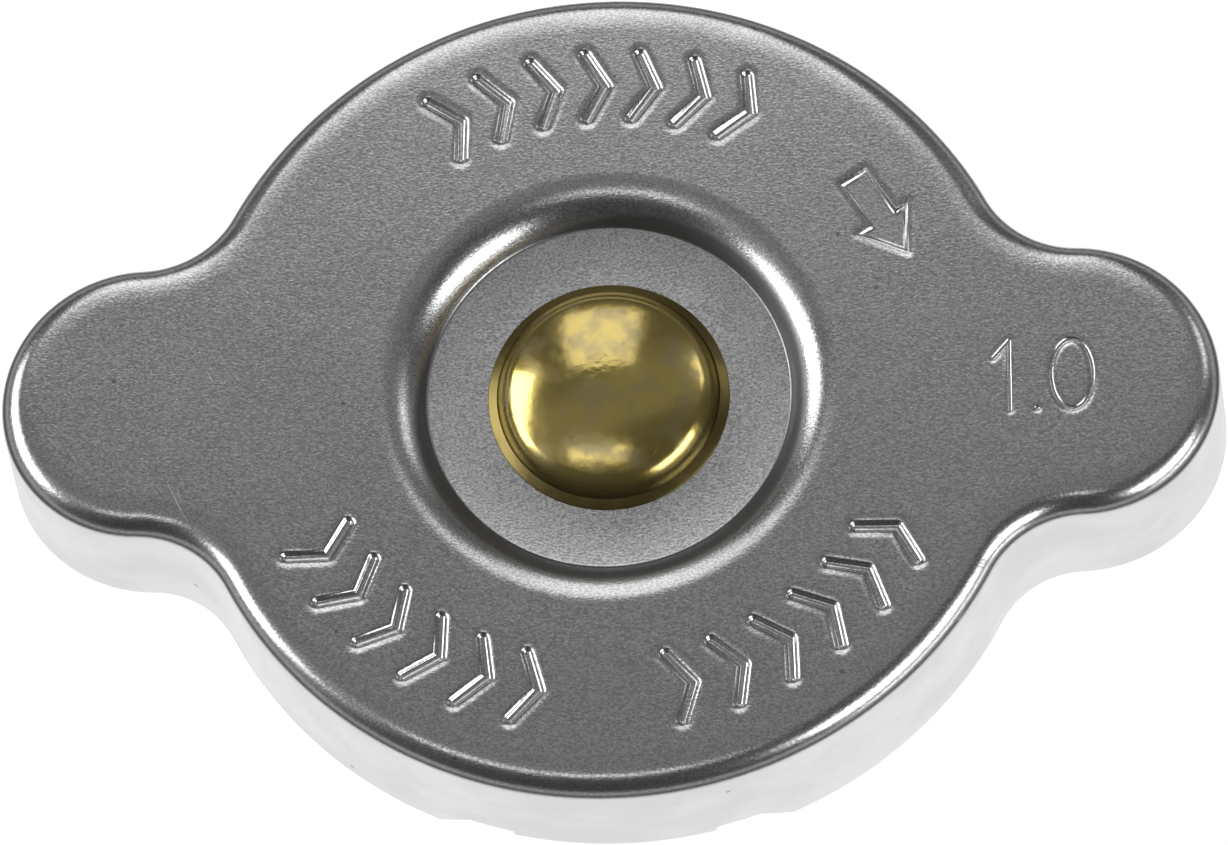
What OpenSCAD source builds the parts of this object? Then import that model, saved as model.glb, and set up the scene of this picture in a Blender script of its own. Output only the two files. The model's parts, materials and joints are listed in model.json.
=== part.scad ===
// Pressure cap for a radiator filler neck: a pressed two-eared shell, riveted to a swivelling
// valve unit with a pressure valve and, in its middle, a vacuum valve.
// The origin is on the axis, in the plane of the main seal's lower face. +Z is up, the ears lie along X.

/* [Pressed shell] */
// Width across the two ears at the rim
overall_w = 76; // [73:0.5:82]
// Outside diameter of the round body at the rim
body_d = 53.6; // [53:0.2:56]
// Radius of each ear's end
ear_r = 9; // [8:0.25:10]
// Radius of the hollow that leads from the body into an ear
blend_r = 6.4; // [5:0.2:8]
// Thickness of the pressed sheet
sheet_t = 0.9; // [0.7:0.05:1.1]
// Outside radius of the bend round the rim
rim_r = 1.5; // [1.3:0.1:2.2]
// Height of the skirt, from the top face to its foot
skirt_h = 9.8; // [9.4:0.1:10.6]
// How far the skirt leans out on the way to its foot
skirt_flare = 0.4; // [0:0.1:0.8]

/* [Centre well] */
// Diameter of the well's flat floor
well_d = 22.3; // [20:0.1:24]
// Depth of the well below the top face
well_depth = 2; // [1.5:0.1:2.5]
// Slope of the well's wall at its steepest
well_slope = 62; // [52:1:66]
// Radius of the well's soft upper shoulder
shoulder_r = 3.4; // [2.4:0.1:3.4]
// Radius of the corner round the well's floor
well_corner_r = 0.3; // [0.2:0.05:0.5]

/* [Pressed marks] */
// Depth of the marks in the top face
mark_depth = 0.3; // [0.1:0.05:0.4]
// Radius of the ring that the marks stand on
mark_ring_r = 20.4; // [19.5:0.1:21]
// Height of a chevron, along the cap's radius
chevron_h = 4.8; // [3.5:0.1:5]
// How far a chevron's point stands out
chevron_reach = 1.25; // [0.8:0.05:1.5]
// Width of a chevron's stroke
chevron_stroke = 0.75; // [0.5:0.05:1]
// Angle of the arrow about the axis
arrow_turn = 33; // [25:1:45]
// Length of the arrow
arrow_l = 6.2; // [5:0.1:7]
// Width of the arrow's shaft
arrow_shaft_w = 1.9; // [1.2:0.1:2.4]
// Width of the arrow's head
arrow_head_w = 3.8; // [3:0.1:4.6]
// Length of the arrow's head
arrow_head_l = 2.8; // [2:0.1:3.2]

/* [Locking lugs] */
// Width of each lug that turns in under the neck's rim
lug_w = 12.5; // [9:0.5:15]
// How far each lug reaches in from the skirt's foot
lug_reach = 4.6; // [3.5:0.1:5.5]
// Outside radius of the bend at the foot of a lug
lug_bend_r = 1.3; // [1.2:0.1:1.5]
// Height of a lug's lower face above the skirt's foot
lug_rise = 0.2; // [0:0.1:0.4]
// Width of the relief cut round a lug, at the skirt's foot
relief_w = 22; // [20:0.5:26]
// Width of the slanted end of a relief cut
relief_slant = 2; // [0.5:0.5:3]
// Height of the relief cut
relief_h = 1.8; // [1.7:0.1:2.4]

/* [Rivet] */
// Diameter of the rivet's shank
shank_d = 6; // [5:0.1:7]
// Diameter of the thin flange round the head
head_d = 15.1; // [13:0.1:17]
// Thickness of that flange
head_flange_t = 0.35; // [0.25:0.05:0.6]
// Width of the flange outside the dome
head_flange_w = 0.5; // [0.3:0.05:1]
// Height of the head above the well's floor
head_h = 3; // [2.5:0.1:3.6]
// Radius of the dome's crown
crown_r = 14; // [12:0.5:20]
// Radius of the dome's rounded edge
dome_edge_r = 2.2; // [1.6:0.1:2.6]
// Diameter of the tail that is spread under the washer
tail_d = 9.2; // [8.4:0.1:10]
// Thickness of the spread tail
tail_t = 1.3; // [1:0.1:1.8]
// Radius of the tail's lower edge
tail_edge_r = 0.6; // [0.3:0.1:0.9]
// Diameter of the washer above the tail
rivet_washer_d = 12; // [11:0.5:14]
// Thickness of that washer
rivet_washer_t = 0.6; // [0.4:0.1:1]

/* [Swivel] */
// Diameter of the washer between shell and spring disc
swivel_washer_d = 18; // [15:0.5:20]
// Thickness of that washer
swivel_washer_t = 0.5; // [0.4:0.1:0.8]
// Radial room between the skirt and the thin disc that presses the rim gasket down
disc_room = 1.5; // [1.1:0.1:2.1]
// Thickness of that disc
disc_t = 0.35; // [0.3:0.05:0.5]
// How far the disc's flat middle reaches past the bell
disc_flat_w = 0.5; // [0.2:0.1:1]
// How far the disc drops from its middle to its rim
disc_drop = 1.2; // [0.8:0.1:1.4]
// Bend radius at the edge of the disc's flat middle
disc_bend_r = 6; // [4:0.5:8]
// Bend radius where the disc's slope meets its rim
disc_rim_bend_r = 2; // [1:0.5:3]
// How far the rim gasket stays inside the disc's edge
gasket_inset = 0.3; // [0.1:0.1:0.8]
// Width of the rim gasket's ring
gasket_w = 3.8; // [3:0.1:4.2]
// Thickness of the rim gasket
gasket_t = 1.6; // [1.2:0.1:1.8]

/* [Bell] */
// Outside diameter of the drawn bell
bell_d = 31; // [30:0.2:32]
// Thickness of the bell's sheet
bell_t = 0.6; // [0.5:0.05:0.8]
// Outside radius of the bell's shoulder
bell_shoulder_r = 2.4; // [1.6:0.1:3]
// Outside radius of the bend into the bell's lip
lip_bend_r = 1.2; // [1:0.1:1.6]
// Diameter of the opening inside the lip
lip_d = 26; // [25:0.2:26.6]
// Number of windows in the bell's wall
windows = 4; // [3:1:6]
// Width of a window
window_w = 9; // [6:0.5:10]
// Height of a window
window_h = 5.5; // [4:0.5:7]
// Height of a window's lower edge above the lip
window_up = 5; // [3:0.5:6]
// Radius of a window's corners
window_corner_r = 1.2; // [0.5:0.1:1.8]

/* [Pressure valve] */
// How far the pressure valve can lift
valve_lift = 3; // [2:0.1:3.4]
// Room that is left under the bell's lip at full lift
lift_spare = 0.7; // [0.5:0.1:1.5]
// Installed length of the main spring
spring_l = 18.2; // [17:0.1:20]
// Wire diameter of the main spring
spring_wire = 1.9; // [1.4:0.1:2]
// Turns of the main spring, its closed ends included
spring_turns = 5.5; // [4.5:0.25:6]
// Thickness of the cup's sheet
cup_t = 0.6; // [0.5:0.05:0.7]
// Outside radius of the cup's floor bend
cup_bend_r = 1.6; // [1.2:0.1:2]
// Outside diameter of the plate over the main seal
plate_d = 35.6; // [34.8:0.2:36.4]
// Thickness of the plate
plate_t = 0.8; // [0.6:0.05:1]
// How far the plate's edge turns down round the seal
plate_drop = 1.6; // [1.4:0.1:2]
// Height of the main seal's bead
seal_h = 3.5; // [3.2:0.1:4]
// Width of the bead's ring
seal_w = 3.4; // [3:0.1:4]
// Radius of the bead's lower edges
seal_edge_r = 0.7; // [0.4:0.1:1]
// Thickness of the seal's web
web_t = 1.6; // [1.4:0.1:1.8]

/* [Vacuum valve] */
// Outside diameter of the tubular seat through the pressure valve
seat_tube_d = 9.6; // [9:0.1:10]
// Thickness of the seat's sheet
seat_t = 0.45; // [0.4:0.05:0.5]
// Diameter of the seat's lower flange
seat_flange_d = 21; // [18:0.5:23]
// How far the seat's spread upper end reaches past the vacuum spring
seat_clinch_w = 0.8; // [0.4:0.1:1.4]
// Diameter of the vacuum valve's dish
dish_d = 14.4; // [14:0.1:16]
// Thickness of the dish's sheet
dish_t = 0.5; // [0.4:0.05:0.55]
// Thickness of the vacuum valve's rubber washer
vacuum_gasket_t = 0.65; // [0.55:0.05:0.7]
// Diameter of the stem
stem_d = 2.5; // [2.2:0.1:3]
// Diameter of the stem's peened end
peen_d = 4; // [3.6:0.1:4.6]
// Height of the peened end
peen_h = 0.7; // [0.5:0.1:1]
// Installed length of the vacuum spring
vacuum_spring_l = 6.6; // [5.5:0.1:8]
// Mean diameter of the vacuum spring
vacuum_spring_d = 10.6; // [10.2:0.1:11]
// Wire diameter of the vacuum spring
vacuum_wire = 0.6; // [0.5:0.05:0.7]
// Turns of the vacuum spring, its closed ends included
vacuum_turns = 5; // [4:0.25:6]
// Thickness of the keeper's sheet
keeper_t = 0.45; // [0.35:0.05:0.6]
// How far the keeper's edge turns down round the spring
keeper_drop = 1; // [0.8:0.1:1.6]

/* [Fits] */
// Radial clearance where the swivel turns on the shank
shank_gap = 0.06; // [0.03:0.01:0.1]
// Radial clearance of pieces that are clamped or slid together
loose_gap = 0.1; // [0.05:0.01:0.15]
// Gap between faces that slide or seat on each other
face_gap = 0.02; // [0.01:0.01:0.04]
// Radial clearance of the spring cup inside the bell's lip
cup_gap = 0.4; // [0.3:0.05:0.6]
// Radial clearance round the ends of both springs
spring_gap = 0.4; // [0.3:0.05:0.6]

/* [Hidden] */
$fn = 96;

// Longest step along a bend and across the rivet's crown, in degrees
bend_step = 12;
crown_step = 3;
// Sides of a spring's wire, and rings along each of its turns
wire_sides = 10;
turn_rings = 18;
// Longer than anything in the model, for cuts
far = 120;
// Flat strip of the top face that belongs to the rim's hollows
rim_land = 0.5;
// Bend radius of the thinnest pressings, on the inside
small_bend = 0.3;
// Least straight run between two bends
small_land = 0.04;

// Levels, from the seal's lower face up
plate_z = seal_h;
cup_z = plate_z + plate_t;
cup_floor_z = cup_z + cup_t;
lip_z = cup_z + valve_lift + lift_spare;
cup_flange_z = lip_z + bell_t + face_gap;
bell_roof_z = cup_floor_z + spring_l;
disc_z = bell_roof_z + bell_t;
swivel_z = disc_z + disc_t;
floor_under_z = swivel_z + swivel_washer_t + face_gap;
floor_z = floor_under_z + sheet_t;
top_z = floor_z + well_depth;
foot_z = top_z - skirt_h;
rivet_washer_z = bell_roof_z - face_gap - rivet_washer_t;
tail_z = rivet_washer_z - tail_t;
gasket_z = disc_z - disc_drop - gasket_t;
seat_flange_z = plate_z - web_t - seat_t;
vacuum_gasket_z = seat_flange_z - face_gap - vacuum_gasket_t;
dish_z = vacuum_gasket_z - dish_t;
keeper_z = cup_floor_z + seat_t + vacuum_spring_l;

// Bores
shell_bore_r = shank_d / 2 + loose_gap;
swivel_bore_r = shank_d / 2 + shank_gap;
seat_bore_r = seat_tube_d / 2 + loose_gap;
stem_bore_r = stem_d / 2 + loose_gap;

// Pieces that fit inside or round each other
cup_r = lip_d / 2 - cup_gap;
cup_flange_r = bell_d / 2 - lip_bend_r - loose_gap;
spring_r = cup_r - cup_t - spring_gap - spring_wire / 2;
disc_r = body_d / 2 - sheet_t - disc_room;
gasket_r = disc_r - gasket_inset;
dome_r = head_d / 2 - head_flange_w;
flange_edge_r = 0.9 * min(head_flange_t, head_flange_w);
vacuum_spring_out_r = vacuum_spring_d / 2 + vacuum_wire / 2;
keeper_r = vacuum_spring_out_r + spring_gap + keeper_t;

// Plan of the shell: body, ears and the centres of the hollows, which touch both
body_r = body_d / 2;
ear_x = overall_w / 2 - ear_r;
body_reach = body_r + blend_r;
ear_reach = ear_r + blend_r;
blend_x = (body_reach ^ 2 - ear_reach ^ 2 + ear_x ^ 2) / (2 * ear_x);
blend_y = sqrt(body_reach ^ 2 - blend_x ^ 2);
// The same centre in round numbers, for the planes where the sectors meet
meet_x = round(blend_x * 1e4) / 1e4;
meet_y = round(blend_y * 1e4) / 1e4;

// The well's section: where its wall leaves the floor and where its shoulder meets the top face
well_bend_r = min(shoulder_r, well_depth / (1 - cos(well_slope)) - well_corner_r - small_land);
well_turn_in = (well_corner_r + sheet_t / 2) * tan(well_slope / 2);
well_turn_out = (well_bend_r - sheet_t / 2) * tan(well_slope / 2);
wall_low_x = well_d / 2 + well_turn_in;
wall_high_x = wall_low_x + well_depth / tan(well_slope);
well_r = ceil((wall_high_x + well_turn_out) * 10) / 10;

// Rows of chevrons: how many, the angles of the first and the last, and 1 where they point anticlockwise
chevron_rows = [[7, 118.5, 65.5, 0], [6, -149.5, -103.5, 1], [6, -76.5, -30.5, 1]];

// Lean of the skirt
lean = atan(skirt_flare / (skirt_h - rim_r));

// A sheet's section is drawn along its middle line, with a bend at each inner corner
function unit(v) = v / norm(v);
function left_of(v) = [-v[1], v[0]];
function along(points, i) = unit(points[i + 1] - points[i]);
function bend(points, radii, i, side) =
    let (
        into = along(points, i - 1),
        turn = atan2(cross(into, along(points, i)), into * along(points, i)),
        way = sign(turn),
        centre = points[i] - into * radii[i] * tan(abs(turn) / 2) + way * radii[i] * left_of(into),
        start = atan2(-way * left_of(into)[1], -way * left_of(into)[0]),
        r = radii[i] - way * side,
        steps = ceil(abs(turn) / bend_step)
    )
    radii[i] == 0
        ? [points[i] + side * left_of(into)]
        : [for (k = [0:steps]) let (a = start + turn * k / steps) centre + r * [cos(a), sin(a)]];
function edge(points, radii, side) =
    let (last = len(points) - 1)
    concat(
        [points[0] + side * left_of(along(points, 0))],
        [for (i = [1:last - 1]) each bend(points, radii, i, side)],
        [points[last] + side * left_of(along(points, last - 1))]
    );
function backwards(list) = [for (i = [len(list) - 1:-1:0]) list[i]];
function after_first(list) = [for (i = [1:len(list) - 1]) list[i]];
function arc(centre, r, from, to, step = bend_step) =
    let (steps = ceil(abs(to - from) / step))
    [for (k = [0:steps]) let (a = from + (to - from) * k / steps) centre + r * [cos(a), sin(a)]];

module sheet(points, radii, t) {
    polygon(concat(edge(points, radii, t / 2), backwards(edge(points, radii, -t / 2))));
}

module turned(points) {
    rotate_extrude() polygon(points);
}

module washer(z, t, d, bore_r) {
    turned([[bore_r, z], [d / 2, z], [d / 2, z + t], [bore_r, z + t]]);
}

// The rim's section, from a strip of the top face over the bend and down the skirt.
// Its zero is where the bend starts, on the top face.
rim_mid_r = rim_r - sheet_t / 2;
rim_corner = [rim_mid_r * tan((90 - lean) / 2), -sheet_t / 2];
function skirt_at(level) = rim_corner + (rim_corner[1] - level) * [tan(lean), -1];

module rim_section(land) {
    sheet(
        [[-land, -sheet_t / 2], rim_corner, skirt_at(relief_h - skirt_h), skirt_at(-skirt_h)],
        [0, rim_mid_r, 0, 0], sheet_t
    );
}

module lug_section(land) {
    lug_mid = lug_rise + sheet_t / 2 - skirt_h;
    lug_corner = skirt_at(lug_mid);
    sheet(
        [
            [-land, -sheet_t / 2], rim_corner, skirt_at(relief_h - skirt_h), lug_corner,
            [skirt_at(-skirt_h)[0] - lug_reach, lug_mid]
        ],
        [0, rim_mid_r, 0, lug_bend_r - sheet_t / 2, 0], sheet_t
    );
}

module slice(points) {
    linear_extrude(far) polygon(points);
}

module at_blend() {
    translate([meet_x, meet_y]) translate([blend_x - meet_x, blend_y - meet_y]) children();
}

module lug_strip() {
    slice([[-lug_w / 2, 0], [lug_w / 2, 0], [lug_w / 2, far], [-lug_w / 2, far]]);
}

module relief_cut() {
    translate([0, far, foot_z]) rotate([90, 0, 0]) linear_extrude(far) polygon([
        [-relief_w / 2, -far], [relief_w / 2, -far], [relief_w / 2, 0],
        [relief_w / 2 - relief_slant, relief_h], [relief_slant - relief_w / 2, relief_h], [-relief_w / 2, 0]
    ]);
}

module body_side() {
    rim_x = body_r - rim_r;
    difference() {
        intersection() {
            translate([0, 0, top_z]) rotate_extrude() translate([rim_x, 0]) rim_section(rim_x - well_r);
            slice([[0, 0], [2 * meet_x, 2 * meet_y], [-2 * meet_x, 2 * meet_y]]);
        }
        lug_strip();
        relief_cut();
    }
    intersection() {
        translate([0, 0, top_z]) rotate_extrude() translate([rim_x, 0]) lug_section(rim_x - well_r);
        lug_strip();
    }
}

module ear_end() {
    rim_x = ear_r - rim_r;
    meet_far_x = ear_x + 2 * (meet_x - ear_x);
    intersection() {
        translate([ear_x, 0, top_z]) rotate_extrude() translate([rim_x, 0]) rim_section(rim_x);
        slice([
            [ear_x, 0], [meet_far_x, -2 * meet_y], [far, -2 * meet_y],
            [far, 2 * meet_y], [meet_far_x, 2 * meet_y]
        ]);
    }
}

module hollow() {
    intersection() {
        at_blend() translate([0, 0, top_z]) rotate_extrude()
            translate([blend_r + rim_r, 0]) mirror([1, 0]) rim_section(rim_land);
        slice([[meet_x, meet_y], [0, 0], [ear_x, 0]]);
    }
}

module ear_web() {
    translate([0, 0, top_z - sheet_t]) linear_extrude(sheet_t) difference() {
        polygon([[0, 0], [meet_x, -meet_y], [ear_x, 0], [meet_x, meet_y]]);
        circle(well_r);
        for (side = [0, 1]) mirror([0, side]) at_blend() circle(blend_r + rim_r + rim_land);
    }
}

module well() {
    mid = top_z - sheet_t / 2;
    rotate_extrude() sheet(
        [[well_r, mid], [wall_high_x, mid], [wall_low_x, mid - well_depth], [shell_bore_r, mid - well_depth]],
        [0, well_bend_r - sheet_t / 2, well_corner_r + sheet_t / 2, 0], sheet_t
    );
}

module on_mark_ring(turn) {
    rotate(turn) translate([mark_ring_r, 0]) rotate(-90) children();
}

module chevron() {
    half = chevron_stroke / 2;
    tip = chevron_reach / 2;
    polygon([
        [tip - half, 0], [-tip - half, -chevron_h / 2], [half - tip, -chevron_h / 2],
        [tip + half, 0], [half - tip, chevron_h / 2], [-tip - half, chevron_h / 2]
    ]);
}

module arrow() {
    neck = arrow_l / 2 - arrow_head_l;
    polygon([
        [-arrow_l / 2, -arrow_shaft_w / 2], [neck, -arrow_shaft_w / 2], [neck, -arrow_head_w / 2],
        [arrow_l / 2, 0],
        [neck, arrow_head_w / 2], [neck, arrow_shaft_w / 2], [-arrow_l / 2, arrow_shaft_w / 2]
    ]);
}

module pressed_marks() {
    translate([0, 0, top_z - mark_depth]) linear_extrude(far) {
        on_mark_ring(arrow_turn) arrow();
        for (row = chevron_rows, k = [0:row[0] - 1])
            on_mark_ring(row[1] + (row[2] - row[1]) * k / (row[0] - 1)) mirror([row[3], 0]) chevron();
    }
}

module cap_shell() {
    color("silver") difference() {
        union() {
            for (turn = [0, 180]) rotate(turn) {
                body_side();
                ear_end();
                for (side = [0, 1]) mirror([0, side, 0]) hollow();
                ear_web();
            }
            well();
        }
        pressed_marks();
    }
}

module centre_rivet() {
    edge_x = dome_r - dome_edge_r;
    crown_z = floor_z + head_h - crown_r;
    edge_z = crown_z + sqrt((crown_r - dome_edge_r) ^ 2 - edge_x ^ 2);
    meet_a = atan2(edge_z - crown_z, edge_x);
    flange_z = floor_z + head_flange_t;
    dome_a = asin((flange_z - edge_z) / dome_edge_r);
    color("darkgoldenrod") turned(concat(
        [[0, tail_z]],
        arc([tail_d / 2 - tail_edge_r, tail_z + tail_edge_r], tail_edge_r, -90, 0),
        [
            [tail_d / 2, rivet_washer_z], [shank_d / 2, rivet_washer_z], [shank_d / 2, floor_z],
            [head_d / 2, floor_z]
        ],
        arc([head_d / 2 - flange_edge_r, flange_z - flange_edge_r], flange_edge_r, 0, 90),
        arc([edge_x, edge_z], dome_edge_r, dome_a, meet_a),
        after_first(arc([0, crown_z], crown_r, meet_a, 90, crown_step))
    ));
}

module rivet_washer() {
    color("lightgray") washer(rivet_washer_z, rivet_washer_t, rivet_washer_d, shell_bore_r);
}

module swivel_washer() {
    color("goldenrod") washer(swivel_z, swivel_washer_t, swivel_washer_d, swivel_bore_r);
}

module spring_disc() {
    mid = disc_z + disc_t / 2;
    slope_x = bell_d / 2 + disc_flat_w;
    slope = [gasket_r - gasket_w - slope_x, -disc_drop];
    rim_mid = mid - disc_drop;
    // Each bend takes up no more than half of the slope
    longest_r = norm(slope) / 2 / tan(atan2(disc_drop, slope[0]) / 2);
    color("gainsboro") rotate_extrude() sheet(
        [[swivel_bore_r, mid], [slope_x, mid], [slope_x, mid] + slope, [disc_r, rim_mid]],
        [0, min(disc_bend_r, longest_r), min(disc_rim_bend_r, longest_r), 0], disc_t
    );
}

module rim_gasket() {
    color("dimgray") washer(gasket_z, gasket_t, 2 * gasket_r, gasket_r - gasket_w);
}

module window() {
    in_x = window_w / 2 - window_corner_r;
    in_y = window_h / 2 - window_corner_r;
    corners = [[in_x, in_y], [-in_x, in_y], [-in_x, -in_y], [in_x, -in_y]];
    rotate([90, 0, 90]) linear_extrude(bell_d) polygon([
        for (q = [0:3]) each arc(corners[q], window_corner_r, 90 * q, 90 * q + 90)
    ]);
}

module bell_housing() {
    roof = disc_z - bell_t / 2;
    wall_x = bell_d / 2 - bell_t / 2;
    lip_mid = lip_z + bell_t / 2;
    color("lightgray") difference() {
        rotate_extrude() sheet(
            [[swivel_bore_r, roof], [wall_x, roof], [wall_x, lip_mid], [lip_d / 2, lip_mid]],
            [0, bell_shoulder_r - bell_t / 2, lip_bend_r - bell_t / 2, 0], bell_t
        );
        for (k = [0:windows - 1]) rotate(360 * k / windows)
            translate([0, 0, lip_z + window_up + window_h / 2]) window();
    }
}

// Height of a closed-ended coil's wire after u turns: flat at both ends, steeper in between
end_turns = 0.75;
ease_turns = 0.5;
// Pitch of the closed ends, in wire diameters
end_pitch = 1.05;
function eased(s) = s < 0 ? 0 : s < ease_turns ? s ^ 2 / (2 * ease_turns) : s - ease_turns / 2;
function coil_z(u, turns, rise, low_pitch) =
    let (mid_turns = turns - 2 * end_turns - ease_turns)
    low_pitch * u + (rise - low_pitch * turns) / mid_turns
        * (eased(u - end_turns) - eased(u - (turns - end_turns - ease_turns)));

module coil(z, length, mean_r, wire, turns) {
    rings = ceil(turns * turn_rings);
    low = z + face_gap + wire / 2;
    rise = length - wire - 2 * face_gap;
    side_list = [for (j = [0:wire_sides - 1]) j];
    points = [
        for (i = [0:rings], j = side_list)
            let (
                u = turns * i / rings,
                round_wire = wire / 2 * [cos(360 * j / wire_sides), sin(360 * j / wire_sides)],
                r = mean_r + round_wire[0],
                up = coil_z(u, turns, rise, wire * end_pitch) + round_wire[1]
            )
            [r * cos(360 * u), r * sin(360 * u), low + up]
    ];
    polyhedron(points, concat(
        [side_list],
        [
            for (i = [0:rings - 1], j = side_list)
                let (a = i * wire_sides, b = a + wire_sides, next = (j + 1) % wire_sides)
                [b + j, b + next, a + next, a + j]
        ],
        [backwards([for (j = side_list) rings * wire_sides + j])]
    ));
}

module main_spring() {
    color("silver") coil(cup_floor_z, spring_l, spring_r, spring_wire, spring_turns);
}

module spring_cup() {
    floor_mid = cup_z + cup_t / 2;
    flange_mid = cup_flange_z + cup_t / 2;
    wall_x = cup_r - cup_t / 2;
    color("lightgray") rotate_extrude() sheet(
        [[seat_bore_r, floor_mid], [wall_x, floor_mid], [wall_x, flange_mid], [cup_flange_r, flange_mid]],
        [0, cup_bend_r - cup_t / 2, small_bend + cup_t / 2, 0], cup_t
    );
}

module seal_plate() {
    mid = plate_z + plate_t / 2;
    wall_x = plate_d / 2 - plate_t / 2;
    color("silver") rotate_extrude() sheet(
        [[seat_bore_r, mid], [wall_x, mid], [wall_x, mid - plate_t / 2 - plate_drop]],
        [0, small_bend + plate_t / 2, 0], plate_t
    );
}

module main_seal() {
    out_x = plate_d / 2 - plate_t - small_bend;
    in_x = out_x - seal_w;
    e = seal_edge_r;
    color("dimgray") turned(concat(
        [[seat_bore_r, plate_z], [seat_bore_r, plate_z - web_t], [in_x, plate_z - web_t]],
        arc([in_x + e, e], e, 180, 270),
        arc([out_x - e, e], e, 270, 360),
        [[out_x, plate_z]]
    ));
}

module vacuum_seat() {
    wall_x = seat_tube_d / 2 - seat_t / 2;
    low = seat_flange_z + seat_t / 2;
    high = cup_floor_z + seat_t / 2;
    clinch_x = vacuum_spring_out_r + seat_clinch_w;
    bend_mid = (small_bend + seat_t) / 2;
    color("goldenrod") rotate_extrude() sheet(
        [[seat_flange_d / 2, low], [wall_x, low], [wall_x, high], [clinch_x, high]],
        [0, bend_mid, bend_mid, 0], seat_t
    );
}

module vacuum_valve() {
    rim_x = dish_d / 2 - dish_t;
    rim_z = vacuum_gasket_z + vacuum_gasket_t / 2;
    peen_z = keeper_z + keeper_t;
    color("goldenrod") turned([
        [0, dish_z], [dish_d / 2, dish_z], [dish_d / 2, rim_z], [rim_x, rim_z],
        [rim_x, vacuum_gasket_z], [stem_d / 2, vacuum_gasket_z],
        [stem_d / 2, peen_z], [peen_d / 2, peen_z],
        [peen_d / 2, peen_z + peen_h / 2], [stem_d / 2, peen_z + peen_h], [0, peen_z + peen_h]
    ]);
}

module vacuum_gasket() {
    washer_d = dish_d - 2 * dish_t - 2 * loose_gap;
    color("dimgray") washer(vacuum_gasket_z, vacuum_gasket_t, washer_d, stem_bore_r);
}

module vacuum_spring() {
    color("silver")
        coil(cup_floor_z + seat_t, vacuum_spring_l, vacuum_spring_d / 2, vacuum_wire, vacuum_turns);
}

module spring_keeper() {
    mid = keeper_z + keeper_t / 2;
    wall_x = keeper_r - keeper_t / 2;
    color("goldenrod") rotate_extrude() sheet(
        [[stem_bore_r, mid], [wall_x, mid], [wall_x, mid - keeper_drop]],
        [0, small_bend + keeper_t / 2, 0], keeper_t
    );
}

cap_shell();
centre_rivet();
rivet_washer();
swivel_washer();
spring_disc();
rim_gasket();
bell_housing();
main_spring();
spring_cup();
seal_plate();
main_seal();
vacuum_seat();
vacuum_valve();
vacuum_gasket();
vacuum_spring();
spring_keeper();
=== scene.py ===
"""Radiator cap: a pressed and plated shell with a brass rivet, over a swivelling valve unit."""

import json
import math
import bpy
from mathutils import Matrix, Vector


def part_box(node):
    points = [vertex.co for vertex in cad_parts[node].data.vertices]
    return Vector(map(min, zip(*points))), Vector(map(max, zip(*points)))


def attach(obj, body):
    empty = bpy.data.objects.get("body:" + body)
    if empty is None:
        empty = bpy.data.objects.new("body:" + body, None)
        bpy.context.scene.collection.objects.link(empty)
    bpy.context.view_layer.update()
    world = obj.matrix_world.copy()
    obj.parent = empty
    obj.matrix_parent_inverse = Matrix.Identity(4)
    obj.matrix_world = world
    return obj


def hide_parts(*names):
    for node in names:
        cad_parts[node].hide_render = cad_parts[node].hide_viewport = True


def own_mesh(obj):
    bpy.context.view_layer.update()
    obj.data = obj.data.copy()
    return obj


bl_info = {
    "name": "Radiator Cap",
    "version": (1, 0, 0),
    "blender": (4, 5, 0),
    "location": "View3D > Sidebar > Radiator Cap",
    "description": "Models the cap's shell, rivet, springs and seals round its solids",
    "category": "Object",
}

import bmesh
import bpy
from bpy.props import FloatProperty, FloatVectorProperty, IntProperty, PointerProperty
from mathutils import Matrix, Vector
from mathutils.geometry import delaunay_2d_cdt

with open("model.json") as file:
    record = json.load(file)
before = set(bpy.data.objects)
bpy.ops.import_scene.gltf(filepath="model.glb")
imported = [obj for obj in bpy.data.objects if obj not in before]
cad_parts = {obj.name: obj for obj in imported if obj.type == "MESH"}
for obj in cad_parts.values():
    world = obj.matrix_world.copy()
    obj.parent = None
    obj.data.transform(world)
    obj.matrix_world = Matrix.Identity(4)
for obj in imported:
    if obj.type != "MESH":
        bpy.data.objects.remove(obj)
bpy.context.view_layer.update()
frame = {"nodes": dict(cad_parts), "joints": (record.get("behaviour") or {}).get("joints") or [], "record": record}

MM = 0.001
# Vertices closer than this are one
WELD = 1e-7
# Faces that meet at a larger angle have a sharp edge between them
SHARP = math.radians(35)
# A flat keeps its own normals up to this distance from a bend
GUARD = 0.06 * MM
# A rounding takes up at most this share of each edge at its corner
ROUNDED_SHARE = 0.4
# A line that turns further than this runs back on itself
REVERSAL = math.radians(179)
# Shares of a groove's shoulder and of its wall that have a contour
SAG_SHARES = (1, 0.72, 0.46, 0.22, 0)
WALL_SHARES = (0.33, 0.66, 1)

# The painted shade low on the well's wall, in shares of its shoulder's radius: where it starts above the floor,
# how far up it reaches, how much more in front, how much less at the back on the left, and its fade
PAINTED_SHADE_START = 0.05
PAINTED_SHADE_REACH = 0.35
PAINTED_SHADE_FRONT = 0.2
PAINTED_SHADE_BACK_LEFT = 0.27
PAINTED_SHADE_FADE = 0.12
# Where the tarnish towards the rivet's flange starts, and where it is full
RIVET_STAIN_START = 6.0 * MM
RIVET_STAIN_END = 6.9 * MM
# Where the rivet's dome is a little crumpled, and how far that reaches
RIVET_DENT = (-0.4 * MM, 1.3 * MM, 0)
DENT_REACH = 2.2 * MM

# The floor's half width, and how little it lies below the seal
FLOOR_SIDE = 3.0
FLOOR_GAP = 0.02 * MM
# How much light the floor gives off itself, so that the cap's shadow on it stays faint
FLOOR_GLOW = 0.87
# The bright table that the cap mirrors, where it fades out, and what lies beyond
TABLE_RADIUS = 48 * MM
TABLE_FADE = 30 * MM
TABLE_GLOW = 0.93
ROOM_GLOW = 0.07
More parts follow.
